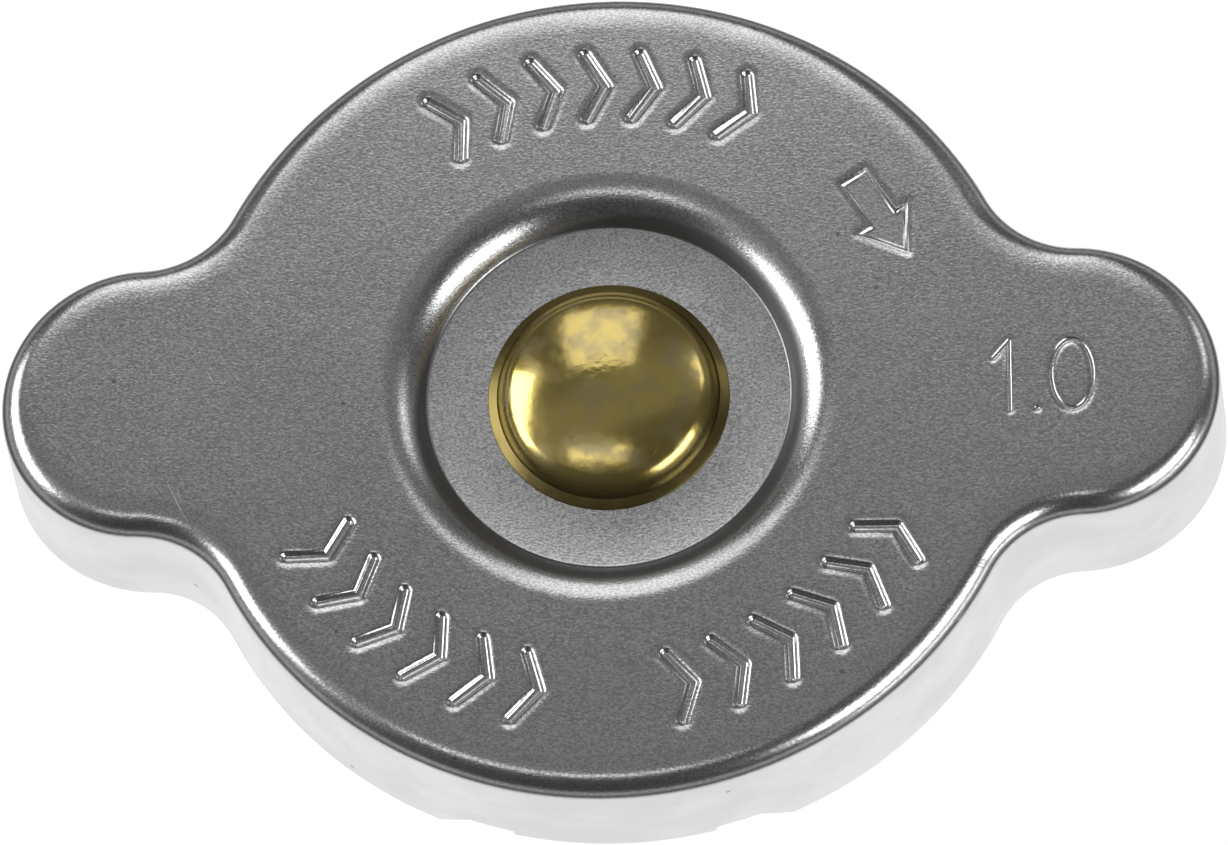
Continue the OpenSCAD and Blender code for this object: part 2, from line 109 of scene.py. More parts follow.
# The pale band round the room at the cap's level: where it starts on the floor, and how high it reaches
SKYLINE_GLOW = 0.30
SKYLINE_START = 210 * MM
SKYLINE_RISE = 0.16
# The room's glow from front to back along this way, as places and values, and that of its wall
ROOM_WAY = (-0.5, 1, 0)
ROOM_STOPS = ((0.0, 0.05), (0.35, 0.08), (0.5, 0.21), (0.72, 0.20), (0.9, 0.09), (1.0, 0.07))
WALL_GLOW = 0.86
# The photograph's width, which the camera's shift is a share of
PHOTO_WIDTH = 1228
SENSOR_WIDTH = 36.0
CLIP_START = 0.01


# Sizes and colours

def plain(label, note, value):
    return FloatProperty(name=label, description=note, default=value)


def whole(label, note, value):
    return IntProperty(name=label, description=note, default=value)


def length(label, note, mm):
    return FloatProperty(name=label, description=note, default=mm * MM, unit="LENGTH", precision=5)


def angle(label, note, degrees):
    return FloatProperty(name=label, description=note, default=math.radians(degrees), subtype="ANGLE")


def place(label, note, x_mm, y_mm):
    return FloatVectorProperty(
        name=label, description=note, default=(x_mm * MM, y_mm * MM), size=2, unit="LENGTH", precision=5
    )


def colour(label, note, red, green, blue):
    return FloatVectorProperty(
        name=label, description=note, default=(red, green, blue), size=3, subtype="COLOR", min=0, max=1
    )


class ShellSizes(bpy.types.PropertyGroup):
    """Sizes of the pressed shell"""
    body_radius: length("Body radius", "Outside radius of the round body at the rim", 26.8)
    ear_radius: length("Ear radius", "Outside radius of each ear's end at the rim", 9)
    hollow_radius: length("Hollow radius", "Radius of the hollow between body and ear", 6.4)
    sheet: length("Sheet", "Thickness of the sheet", 0.9)
    rim_radius: length("Rim radius", "Outside radius of the bend round the rim", 1.5)
    crown: length("Crown", "How far the top face falls before the rim's bend starts", 0.045)
    crown_width: length("Crown width", "Width of that fall", 1.1)
    skirt: length("Skirt", "Height from the skirt's foot to the top face", 9.8)
    flare: length("Flare", "How far the skirt leans out on the way to its foot", 0.4)
    edge: length("Edge", "Rounding of the sheet's cut edges", 0.09)
    well_radius: length("Well radius", "Radius at which the well's shoulder starts", 14.44)
    well_depth: length("Well depth", "Depth of the well below the top face", 2)
    shoulder: length("Shoulder", "Radius of the well's soft shoulder", 3.4)
    corner: length("Corner", "Radius of the corner round the well's floor", 0.3)
    dish: length("Dish", "How far the well's floor curves up towards its corner", 0.14)
    dish_width: length("Dish width", "Width of that curve", 3.2)
    bore: length("Bore", "Radius of the hole for the rivet", 3.1)
    lug_width: length("Lug width", "Width of each locking lug", 12.5)
    lug_reach: length("Lug reach", "How far each lug reaches in from the skirt's foot", 4.6)
    lug_bend: length("Lug bend", "Outside radius of the bend into a lug", 1.3)
    lug_rise: length("Lug rise", "Height of a lug's lower face above the skirt's foot", 0.2)
    relief_width: length("Relief width", "Width of the cut round a lug, at the skirt's foot", 22)
    relief_slant: length("Relief slant", "Width of the slanted end of that cut", 2)
    relief_height: length("Relief height", "Height of that cut", 1.8)


class MarkSizes(bpy.types.PropertyGroup):
    """Sizes and places of the marks sunk into the top face"""
    ring_radius: length("Ring radius", "Radius of the ring that the marks stand on", 20.4)
    chevron_height: length("Chevron height", "Height of a chevron, along the cap's radius", 4.4)
    chevron_reach: length("Chevron reach", "How far a chevron's point stands out from its arms", 1.25)
    stroke: length("Stroke", "Width of a chevron's groove", 0.72)
    sag: length("Sag", "Width of the soft shoulder round a groove", 0.5)
    sag_depth: length("Sag depth", "How far the sheet sinks over that shoulder", 0.1)
    wall: length("Wall", "Width of a groove's rounded wall", 0.28)
    depth: length("Depth", "Depth of a groove's floor below the top face", 0.34)
    fine_stroke: length("Fine stroke", "Width of the number's groove", 0.4)
    fine_sag: length("Fine sag", "Width of the shoulder round the number's groove", 0.26)
    fine_sag_depth: length("Fine sag depth", "How far the sheet sinks over that shoulder", 0.035)
    fine_wall: length("Fine wall", "Width of the wall of the number's groove", 0.15)
    fine_depth: length("Fine depth", "Depth of the number's groove", 0.15)
    number: place("Number", "Middle of the number on the right ear", 26.9, 0)
    number_height: length("Number height", "Height of the number", 4.6)
    arrow_turn: angle("Arrow turn", "Angle of the arrow about the axis", 33)
    arrow_length: length("Arrow length", "Length of the arrow", 6.2)
    arrow_shaft: length("Arrow shaft", "Width of the arrow's shaft", 1.9)
    arrow_head: length("Arrow head", "Width of the arrow's head", 3.8)
    arrow_head_length: length("Arrow head length", "Length of the arrow's head", 2.8)


class RivetSizes(bpy.types.PropertyGroup):
    """Sizes of the centre rivet"""
    flange_width: length("Flange width", "Width of the flange outside the dome", 0.5)
    flange: length("Flange", "Thickness of the flange at the dome's foot", 0.35)
    flange_rim: length("Flange rim", "Thickness of the flange at its rim", 0.1)
    head: length("Head", "Height of the head above the well's floor", 3)
    crown: length("Crown", "Radius of the dome's crown", 14)
    dome_edge: length("Dome edge", "Radius of the dome's rounded edge", 2.2)
    shank: length("Shank", "Radius of the shank", 3)
    tail: length("Tail", "Radius of the spread tail", 4.6)
    tail_height: length("Tail height", "Height of the spread tail", 1.3)
    flange_edge: length("Flange edge", "Rounding of the flange's upper edge", 0.08)
    edge: length("Edge", "Rounding of the tail's edges", 0.14)


class SpringSizes(bpy.types.PropertyGroup):
    """Sizes of the two coil springs"""
    main_wire: length("Main wire", "Wire diameter of the main spring", 1.9)
    main_turns: plain("Main turns", "Turns of the main spring", 5.5)
    vacuum_wire: length("Vacuum wire", "Wire diameter of the vacuum spring", 0.6)
    vacuum_turns: plain("Vacuum turns", "Turns of the vacuum spring", 5)
    end_turns: plain("End turns", "Closed turns at each end", 0.75)
    ease_turns: plain("Ease turns", "Turns over which the pitch changes", 0.5)
    end_pitch: plain("End pitch", "Pitch of closed turns, in wires", 1.05)
    rings: whole("Rings", "Rings of the wire's skin in each turn", 56)
    sides: whole("Sides", "Sides of the wire's skin", 18)


class TurnedSizes(bpy.types.PropertyGroup):
    """Sizes that all turned and drawn valve pieces share"""
    metal_edge: length("Metal edge", "Rounding of the edges of washers and drawn cups", 0.09)
    rubber_edge: length("Rubber edge", "Rounding of the edges of seals", 0.16)
    segments: whole("Segments", "Segments round the axis", 168)


class Finishes(bpy.types.PropertyGroup):
    """Colours of the finishes"""
    plate: colour("Plate", "Bright plated sheet", 0.82, 0.82, 0.82)
    plate_dull: colour("Dull plate", "Plating in the grain", 0.46, 0.46, 0.46)
    # Painted shade: a dark plating colour low on the well's wall that stands in for shade in the recess
    plate_stain: colour("Plate in painted shade", "Plating low on the well's wall", 0.13, 0.135, 0.15)
    plate_floor: colour("Well floor", "Plating on the well's floor", 0.88, 0.88, 0.885)
    speck: colour("Speck", "Dark specks on the plating", 0.12, 0.11, 0.10)
    scratch: colour("Scratch", "Bright scratches on the plating", 0.88, 0.88, 0.88)
    rivet: colour("Rivet", "Polished brass", 0.68, 0.525, 0.145)
    rivet_rim: colour("Rivet rim", "Polished brass, seen along its surface", 0.5, 0.4, 0.2)
    rivet_dull: colour("Dull rivet", "Tarnish on the polished brass", 0.46, 0.38, 0.20)
    rivet_stain: colour("Stained rivet", "Tarnish round the rivet's flange", 0.12, 0.095, 0.04)
    brass: colour("Brass", "Satin brass of the vacuum valve", 0.72, 0.55, 0.25)
    brass_dull: colour("Dull brass", "Tarnish on the satin brass", 0.46, 0.33, 0.14)
    steel: colour("Steel", "Satin stainless sheet", 0.66, 0.66, 0.65)
    steel_dull: colour("Dull steel", "Duller patches of the stainless sheet", 0.52, 0.52, 0.51)
    satin_scratch: colour("Satin scratch", "Bright scratches on satin metal", 0.85, 0.85, 0.84)
    wire: colour("Wire", "Drawn spring wire", 0.56, 0.56, 0.56)
    wire_dull: colour("Dull wire", "Drawing marks on the wire", 0.36, 0.355, 0.35)
    rubber: colour("Rubber", "Black moulded rubber", 0.022, 0.022, 0.023)
    rubber_bloom: colour("Rubber bloom", "Grey bloom on the rubber", 0.075, 0.074, 0.072)
    floor: colour("Floor", "Pale floor", 0.42, 0.42, 0.42)
    floor_cloud: colour("Floor cloud", "Darker patches of the floor", 0.40, 0.40, 0.40)


class StudioSizes(bpy.types.PropertyGroup):
    """Camera of the studio"""
    elevation: angle("Elevation", "Height of the camera above the horizon", 67.42)
    turn: angle("Turn", "How far the camera stands to the right of the front", 9.70)
    roll: angle("Roll", "Roll of the camera", -10.38)
    distance: length("Distance", "Distance from the camera to the middle of the top face", 491.6)
    focal: plain("Focal length", "In pixels of the photograph", 7923.7)
    right: plain("Right", "Offset of the cap to the right, in pixels", -7.4)
    down: plain("Down", "Offset of the cap downwards, in pixels", -37.6)


class RadiatorCapSettings(bpy.types.PropertyGroup):
    """All settings of the radiator cap"""
    shell: PointerProperty(type=ShellSizes)
    marks: PointerProperty(type=MarkSizes)
    rivet: PointerProperty(type=RivetSizes)
    springs: PointerProperty(type=SpringSizes)
    turned: PointerProperty(type=TurnedSizes)
    finishes: PointerProperty(type=Finishes)
    studio: PointerProperty(type=StudioSizes)


# Meshes

def mesh_object(name, points, faces):
    """A closed, smooth-shaded object whose normals point outwards."""
    mesh = bpy.data.meshes.new(name)
    mesh.from_pydata(points, [], faces)
    bm = bmesh.new()
    bm.from_mesh(mesh)
    bmesh.ops.remove_doubles(bm, verts=bm.verts, dist=WELD)
    bmesh.ops.recalc_face_normals(bm, faces=bm.faces)
    bm.to_mesh(mesh)
    bm.free()
    return shown_object(name, mesh)


def shown_object(name, mesh):
    mesh.shade_smooth()
    mesh.set_sharp_from_angle(angle=SHARP)
    obj = bpy.data.objects.new(name, mesh)
    bpy.context.scene.collection.objects.link(obj)
    return obj


def body_of_node(name):
    bodies = frame["record"]["behaviour"]["bodies"]
    return next(body for body, nodes in bodies.items() if name in nodes)


def slot_of_node(name):
    return next(row["material_slot"] for row in frame["record"]["subparts"] if row["node"] == name)


def finished_piece(obj, material, node):
    """Gives a piece its finish and the body of the solid that it stands for."""
    obj.data.materials.clear()
    obj.data.materials.append(material)
    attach(obj, body_of_node(node))
    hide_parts(node)
    slot_of_node(node)


class Skin:
    """Points and faces of a mesh in the making."""

    def __init__(self):
        self.points = []
        self.faces = []

    def grid(self, columns, closed=False):
        """Faces between neighbouring columns, which all have as many points."""
        rows = len(columns[0])
        first = len(self.points)
        for column in columns:
            self.points.extend(column)
        pairs = len(columns) if closed else len(columns) - 1
        for i in range(pairs):
            a = first + i * rows
            b = first + (i + 1) % len(columns) * rows
            self.faces.extend((a + j, b + j, b + j + 1, a + j + 1) for j in range(rows - 1))

    def polygon(self, points):
        first = len(self.points)
        self.points.extend(points)
        self.faces.append(tuple(range(first, len(self.points))))

    def plane(self, loops, heights, rim, hole):
        """Triangles between flat loops, each at its own height, except outside rim and inside hole."""
        closest_mm = 1e-6
        flat = []
        edges = []
        owner = []
        for number, loop in enumerate(loops):
            first = len(flat)
            flat.extend(Vector((p.x / MM, p.y / MM)) for p in loop)
            owner.extend([number] * len(loop))
            edges.extend((first + i, first + (i + 1) % len(loop)) for i in range(len(loop)))
        found, _, triangles, sources, _, _ = delaunay_2d_cdt(flat, edges, [], 0, closest_mm)
        loop_of = [owner[source[0]] for source in sources]
        first = len(self.points)
        self.points.extend(Vector((p.x * MM, p.y * MM, heights[k])) for p, k in zip(found, loop_of))
        for triangle in triangles:
            owners = {loop_of[i] for i in triangle}
            if owners not in ({rim}, {hole}):
                self.faces.append(tuple(first + i for i in triangle))


def arc_points(centre, radius, start, end, steps):
    angles = [start + (end - start) * k / steps for k in range(steps + 1)]
    return [centre + radius * Vector((math.cos(a), math.sin(a))) for a in angles]


def offset_loop(loop, distance, step=math.radians(15)):
    """A loop moved to its right, out of a counter-clockwise one, with round outer corners."""
    moved = []
    for before, here, after in zip(loop[-1:] + loop[:-1], loop, loop[1:] + loop[:1]):
        into = (here - before).normalized()
        out = (after - here).normalized()
        turn = math.atan2(into.x * out.y - into.y * out.x, into.dot(out))
        if abs(turn) > REVERSAL:
            turn = math.pi
        side = Vector((into.y, -into.x))
        if turn * distance > 0:
            steps = max(1, math.ceil(abs(turn) / step))
            for k in range(steps + 1):
                moved.append(here + distance * (Matrix.Rotation(turn * k / steps, 2) @ side))
        else:
            other = Vector((out.y, -out.x))
            moved.append(here + distance * (side + other) / (1 + side.dot(other)))
    return moved


def round_turns(steps):
    """Cosine and sine of even steps round a circle."""
    turns = [2 * math.pi * k / steps for k in range(steps)]
    return [(math.cos(a), math.sin(a)) for a in turns]


def ring(radius, segments):
    return [Vector((radius * x, radius * y)) for x, y in round_turns(segments)]


def turned_columns(chain, segments):
    """A section of (radius, height) at even steps about Z."""
    return [[Vector((p.x * x, p.x * y, p.y)) for p in chain] for x, y in round_turns(segments)]


def rounded(chain, radius, closed, steps=4):
    """A section with its sharp corners rounded and its long edges held flat."""
    out = []
    count = len(chain)
    for i, here in enumerate(chain):
        if not closed and i in (0, count - 1):
            out.append(here)
            continue
        before = chain[i - 1] - here
        after = chain[(i + 1) % count] - here
        turn = math.pi - before.angle(after)
        if turn < SHARP:
            out.append(here)
            continue
        most = ROUNDED_SHARE * min(before.length, after.length)
        reach = min(radius * math.tan(turn / 2), most)
        start = here + before.normalized() * reach
        end = here + after.normalized() * reach
        for k in range(steps + 1):
            t = k / steps
            out.append((1 - t) ** 2 * start + 2 * t * (1 - t) * here + t ** 2 * end)
    return held_flat(out, closed)


def held_flat(chain, closed):
    """A section with a point near both ends of each long edge, so that its shading stays flat."""
    out = []
    count = len(chain)
    for i, here in enumerate(chain):
        out.append(here)
        if not closed and i == count - 1:
            break
        edge = chain[(i + 1) % count] - here
        if edge.length > 4 * GUARD:
            step = edge.normalized() * GUARD
            out.extend([here + step, here + edge - step])
    return out


def lathe(name, chain, closed, segments):
    """A section of (radius, height) turned about Z."""
    rows = chain + chain[:1] if closed else chain
    skin = Skin()
    skin.grid(turned_columns(rows, segments), closed=True)
    return mesh_object(name, skin.points, skin.faces)


def merged_copy(node_name):
    """A bmesh of a CAD node with its loose triangles joined."""
    bm = bmesh.new()
    bm.from_mesh(frame["nodes"][node_name].data)
    bmesh.ops.remove_doubles(bm, verts=bm.verts, dist=WELD)
    return bm


def section(node_name):
    """A turned node's half section as a chain of (radius, height), and whether it is closed."""
    bm = merged_copy(node_name)
    digits = 7
    links = {}
    for edge in bm.edges:
        ends = [(round(v.co.x, digits), round(v.co.z, digits)) for v in edge.verts]
        if all(abs(v.co.y) < WELD and v.co.x > -WELD for v in edge.verts) and ends[0] != ends[1]:
            links.setdefault(ends[0], set()).add(ends[1])
            links.setdefault(ends[1], set()).add(ends[0])
    bm.free()
    loose = {}
    for point, near in links.items():
        if len(near) == 1:
            loose.setdefault(point[1], []).append(point)
    start = None
    for height, points in loose.items():
        if len(points) == 1:
            start = (0.0, height)
            points.append(start)
            links[start] = set()
        links[points[0]].add(points[1])
        links[points[1]].add(points[0])
    chain = [start or next(iter(links))]
    before = None
    while True:
        ahead = [p for p in links[chain[-1]] if p != before]
        if not ahead or ahead[0] == chain[0]:
            break
        before = chain[-1]
        chain.append(ahead[0])
    return [Vector(p) for p in chain], start is None


# The shell's form

class RadialColumn:
    """A line across the rim and down the skirt, on an arc of the plan."""

    def __init__(self, centre, base, way, angle, foot):
        self.centre = centre
        self.base = base
        self.way = way
        self.ray = Vector((math.cos(angle), math.sin(angle)))
        self.foot = foot
        self.square_end = False

    def at(self, out, height):
        p = self.centre + (self.base + self.way * out) * self.ray
        return Vector((p.x, p.y, height))


class StraightColumn:
    """The same beside a lug, where the line stays in one plane across the cap."""

    def __init__(self, x, base, foot, square_end):
        self.x = x
        self.base = base
        self.foot = foot
        self.square_end = square_end

    def at(self, out, height):
        # On the top face the line turns towards the axis
        x = self.x * min(1, 1 + out / self.base)
        return Vector((x, math.sqrt((self.base + out) ** 2 - x ** 2), height))


def turned_round(points):
    return [Vector((-p.x, -p.y, p.z)) for p in points]


class ShellForm:
    """The shell's plan and section, from its sizes and its solid's box."""

    # Steps along the plan
    ear_steps = 84
    hollow_steps = 26
    body_steps = 40
    slant_steps = 5
    relief_steps = 6
    lug_steps = 30
    well_segments = 216
    # Steps along the section
    crown_steps = 6
    rim_steps = 14
    skirt_steps = 6
    foot_steps = 3
    edge_steps = 4
    bend_steps = 10
    shoulder_steps = 22
    corner_steps = 10
    dish_steps = 12
    under_steps = 16
    # How far the rows that run all the way round, past the lugs, stay above the relief
    common_rise = 0.3 * MM
    # Room between the last radial column and the first straight one
    column_gap = 0.5 * MM

    def __init__(self, sizes):
        s = self.sizes = sizes
        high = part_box("cap_shell")[1]
        self.top = high.z
        self.lean = math.atan(s.flare / (s.skirt - s.rim_radius))
        self.across = Vector((math.cos(self.lean), math.sin(self.lean)))
        mid_radius = s.rim_radius - s.sheet / 2
        corner_out = mid_radius * math.tan((math.pi / 2 - self.lean) / 2)
        self.skirt_start = Vector((corner_out, -s.sheet / 2))
        self.relief = s.relief_height - s.skirt
        self.common = self.relief + self.common_rise
        foot_out = self.on_skirt(-s.skirt, s.sheet / 2).x
        self.ear_x = high.x - foot_out + s.rim_radius - s.ear_radius

    def on_skirt(self, level, side):
        """A point of the skirt's section: its middle's height, and its place across the sheet."""
        drop = self.skirt_start.y - level
        return self.skirt_start + drop * Vector((math.tan(self.lean), -1)) + side * self.across

    def rim_rows(self, side):
        """The section from the top face over the rim and down to the common level."""
        s = self.sizes
        radius = s.rim_radius + side - s.sheet / 2
        centre = Vector((0, -s.rim_radius))
        bend = arc_points(centre, radius, math.pi / 2, self.lean, self.rim_steps)
        start = bend[-1].y
        steps = self.skirt_steps
        levels = [start + (self.common - start) * k / steps for k in range(1, steps + 1)]
        if side > 0:
            bend = self.crowned(bend)
        return held_flat(bend + [self.on_skirt(z, side) for z in levels], False)

    def crowned(self, bend):
        """The rim's outer bend with a gentle fall before it, which fades out down the bend."""
        s = self.sizes
        rows = []
        for k in range(self.crown_steps):
            share = k / self.crown_steps
            rows.append(Vector((s.crown_width * (share - 1), -s.crown * share ** 2)))
        for p in bend:
            fall = s.crown + 2 * s.crown / s.crown_width * p.x
            left = max(0, 1 + p.y / s.rim_radius)
            rows.append(Vector((p.x, p.y - fall * left)))
        return rows

    def foot_rows(self, level, square_end):
        """The section from the common level round a cut edge and back up inside."""
        s = self.sizes
        half = s.sheet / 2
        edge = 0 if square_end else s.edge
        start = level + edge
        steps = self.foot_steps
        heights = [self.common + (start - self.common) * k / steps for k in range(steps)]
        turns = self.edge_turns()
        bend = [(start - edge * math.sin(a), half - edge + edge * math.cos(a)) for a in turns]
        down = [(height, half) for height in heights] + bend
        up = [(height, -side) for height, side in reversed(down)]
        return [self.on_skirt(height, side) for height, side in down + up]

    def edge_turns(self):
        """Angles round a quarter of a cut edge."""
        return [math.pi / 2 * k / self.edge_steps for k in range(self.edge_steps + 1)]

    def lug_rows(self):
        """The outer and the inner side of a lug's section, from the relief's level to its end."""
        s = self.sizes
        half = s.sheet / 2
        level = s.lug_rise + half - s.skirt
        radius = s.lug_bend - half
        corner = self.on_skirt(level, 0)
        down = Vector((math.sin(self.lean), -math.cos(self.lean)))
        reach = radius * math.tan((math.pi / 2 + self.lean) / 2)
        centre = corner - reach * down - radius * self.across
        end = self.on_skirt(-s.skirt, 0).x - s.lug_reach
        sides = []
        for side in (half, -half):
            bend = arc_points(centre, radius + side, self.lean, -math.pi / 2, self.bend_steps)
            tip = Vector((end + s.edge, bend[-1].y))
            sides.append([self.on_skirt(self.relief, side)] + bend + [tip])
        return sides

    def lug_end(self, outer, inner):
        """The rounded end of a lug's section, between the last points of its two sides."""
        edge = self.sizes.edge
        steps = [(edge * math.sin(a), edge - edge * math.cos(a)) for a in self.edge_turns()[1:]]
        low = [Vector((outer.x - back, outer.y + rise)) for back, rise in steps]
        high = [Vector((inner.x - back, inner.y - rise)) for back, rise in steps]
        return low + high[::-1]

    def columns(self):
        """Half of the columns, counter-clockwise from the right ear, and where the lug's sides are."""
        s = self.sizes
        foot = -s.skirt
        body_reach = s.body_radius + s.hollow_radius
        ear_reach = s.ear_radius + s.hollow_radius
        x = (body_reach ** 2 - ear_reach ** 2 + self.ear_x ** 2) / (2 * self.ear_x)
        hollow = Vector((x, math.sqrt(body_reach ** 2 - x ** 2)))
        ear = Vector((self.ear_x, 0))
        ear_angle = math.atan2(hollow.y, hollow.x - ear.x)
        body_angle = math.atan2(hollow.y, hollow.x)
        ear_base = s.ear_radius - s.rim_radius
        body_base = s.body_radius - s.rim_radius
        hollow_base = s.hollow_radius + s.rim_radius

        def run(centre, base, way, start, end, steps):
            angles = [start + (end - start) * k / steps for k in range(steps)]
            return [RadialColumn(centre, base, way, a, foot) for a in angles]

        half = s.relief_width / 2
        last_angle = math.acos(half / body_base) - self.column_gap / body_base
        axis = Vector((0, 0))
        found = run(ear, ear_base, 1, -ear_angle, ear_angle, self.ear_steps)
        found += run(
            hollow, hollow_base, -1, ear_angle + math.pi, body_angle + math.pi, self.hollow_steps
        )
        found += run(axis, body_base, 1, body_angle, last_angle, self.body_steps)
        found.append(RadialColumn(axis, body_base, 1, last_angle, foot))
        flat = half - s.relief_slant
        lug = s.lug_width / 2
        stops = [
            (half, flat, self.slant_steps), (flat, lug, self.relief_steps), (lug, -lug, self.lug_steps),
            (-lug, -flat, self.relief_steps), (-flat, -half, self.slant_steps),
        ]
        xs = [a + (b - a) * k / steps for a, b, steps in stops for k in range(steps)] + [-half]
        for x in xs:
            rise = min(1, (half - abs(x)) / s.relief_slant) * s.relief_height
            at_lug = abs(abs(x) - lug) < WELD
            found.append(StraightColumn(x, body_base, foot + rise, at_lug))
        sides = [i for i, column in enumerate(found) if column.square_end]
        found += run(axis, body_base, 1, math.pi - last_angle, math.pi - body_angle, self.body_steps)
        other = Vector((-hollow.x, hollow.y))
        found += run(other, hollow_base, -1, -body_angle, -ear_angle, self.hollow_steps)
        return found, sides

    def well_chain(self):
        """The well's section from the shoulder's start down to the bore and back along its underside."""
        s = self.sizes
        dish_slope = math.atan(2 * s.dish / s.dish_width)
        # The shoulder steepens until the corner can end at the dished floor's edge
        rise = s.shoulder + s.corner * math.cos(dish_slope) - s.well_depth + s.dish
        steepest = math.acos(rise / (s.shoulder + s.corner))
        quarter = math.pi / 2
        upper = Vector((s.well_radius, self.top - s.shoulder))
        corner = upper + (s.shoulder + s.corner) * Vector((-math.sin(steepest), math.cos(steepest)))
        floor = self.top - s.well_depth
        self.floor_radius = corner.x + s.corner * math.sin(dish_slope)
        bend = (steepest - quarter, dish_slope - quarter, self.corner_steps)
        chain = arc_points(upper, s.shoulder, quarter, quarter + steepest, self.shoulder_steps)
        chain += arc_points(corner, s.corner, *bend)
        for k in range(1, self.dish_steps + 1):
            share = k / self.dish_steps
            radius = self.floor_radius - s.dish_width * share
            chain.append(Vector((radius, floor + s.dish * (1 - share) ** 2)))
        under = floor - s.sheet
        below = arc_points(corner, s.corner + s.sheet, *bend)[::-1]
        below += arc_points(upper, s.shoulder - s.sheet, quarter + steepest, quarter, self.under_steps)
        foot = Vector((below[0].x - s.dish_width, under))
        chain += [Vector((s.bore, floor)), Vector((s.bore, under)), foot]
        return held_flat(chain + below, False)


def sunk_levels(sag, sag_depth, wall, depth):
    """How far each contour of a groove lies outside its edge, and how deep."""
    levels = [(sag + GUARD, 0)]
    for share in SAG_SHARES:
        levels.append((sag * share, sag_depth * (1 - share) ** 2))
    for share in WALL_SHARES:
        drop = math.sin(share * math.pi / 2)
        levels.append((-wall * share, sag_depth + (depth - sag_depth) * drop))
    return levels


def there_and_back(points):
    """A line as a loop that runs along it and back, for a groove with round ends."""
    return points + points[-2:0:-1]


def on_ring(marks, turn, points):
    """Points on the marks' ring at an angle about the axis: X is clockwise along it, Y is outwards."""
    middle = Vector((0, marks.ring_radius))
    spin = Matrix.Rotation(turn - math.pi / 2, 2)
    return [spin @ (middle + p) for p in points]


def chevron(marks, turn, way):
    """One chevron of a row; way is 1 where it points clockwise and -1 where it points the other way."""
    half = marks.chevron_height / 2
    tip = way * marks.chevron_reach / 2
    points = [Vector((-tip, half)), Vector((tip, 0)), Vector((-tip, -half))]
    return there_and_back(on_ring(marks, turn, points))


def chevron_rows(marks):
    """A row at the back that points clockwise, and two in front that point the other way."""
    # How many, the first and the last angle in degrees, and the way that they point
    rows = ((7, 118.5, 65.5, 1), (6, -149.5, -103.5, -1), (6, -76.5, -30.5, -1))
    loops = []
    for count, start, end, way in rows:
        for k in range(count):
            turn = math.radians(start + (end - start) * k / (count - 1))
            loops.append(chevron(marks, turn, way))
    return loops


def arrow(marks):
    """A plain arrow that points clockwise along the marks' ring."""
    tip = marks.arrow_length / 2
    neck = tip - marks.arrow_head_length
    shaft = marks.arrow_shaft / 2
    head = marks.arrow_head / 2
    points = [
        Vector((-tip, shaft)), Vector((-tip, -shaft)), Vector((neck, -shaft)), Vector((neck, -head)),
        Vector((tip, 0)), Vector((neck, head)), Vector((neck, shaft)),
    ]
    return on_ring(marks, marks.arrow_turn, points)


def number_loops(marks):
    """The number one, with a point and a nought, as the middle lines of its grooves."""
    # Places are in halves of the number's height
    half = marks.number_height / 2
    nought_steps = 40
    middle = Vector(marks.number)
    one = [Vector((-0.86, 0.52)) * half, Vector((-0.44, 1)) * half, Vector((-0.44, -1)) * half]
    one = [middle + Vector((-0.4 * half, 0)) + p for p in one]
    dot = [middle + Vector((-0.12, -0.97)) * half, middle + Vector((-0.1, -0.97)) * half]
    nought = [middle + Vector((0.84 + 0.56 * x, y)) * half for x, y in round_turns(nought_steps)]
    return [there_and_back(one), there_and_back(dot), nought, nought[::-1]]


def contour_loops(marks, top):
    """All contours of the sunk marks, with the height of each."""
    deep = sunk_levels(marks.sag, marks.sag_depth, marks.wall, marks.depth)
    fine = sunk_levels(marks.fine_sag, marks.fine_sag_depth, marks.fine_wall, marks.fine_depth)
    grooves = [(loop, marks.stroke / 2, deep) for loop in chevron_rows(marks)]
    # The arrow's floor is wide, so a last contour keeps it flat inside the wall
    grooves.append((arrow(marks), 0, deep + [(deep[-1][0] - GUARD, marks.depth)]))
    grooves += [(loop, marks.fine_stroke / 2, fine) for loop in number_loops(marks)]
    loops = []
    heights = []
    for loop, half, levels in grooves:
        for out, depth in levels:
            loops.append(offset_loop(loop, half + out))
            heights.append(top - depth)
    return loops, heights


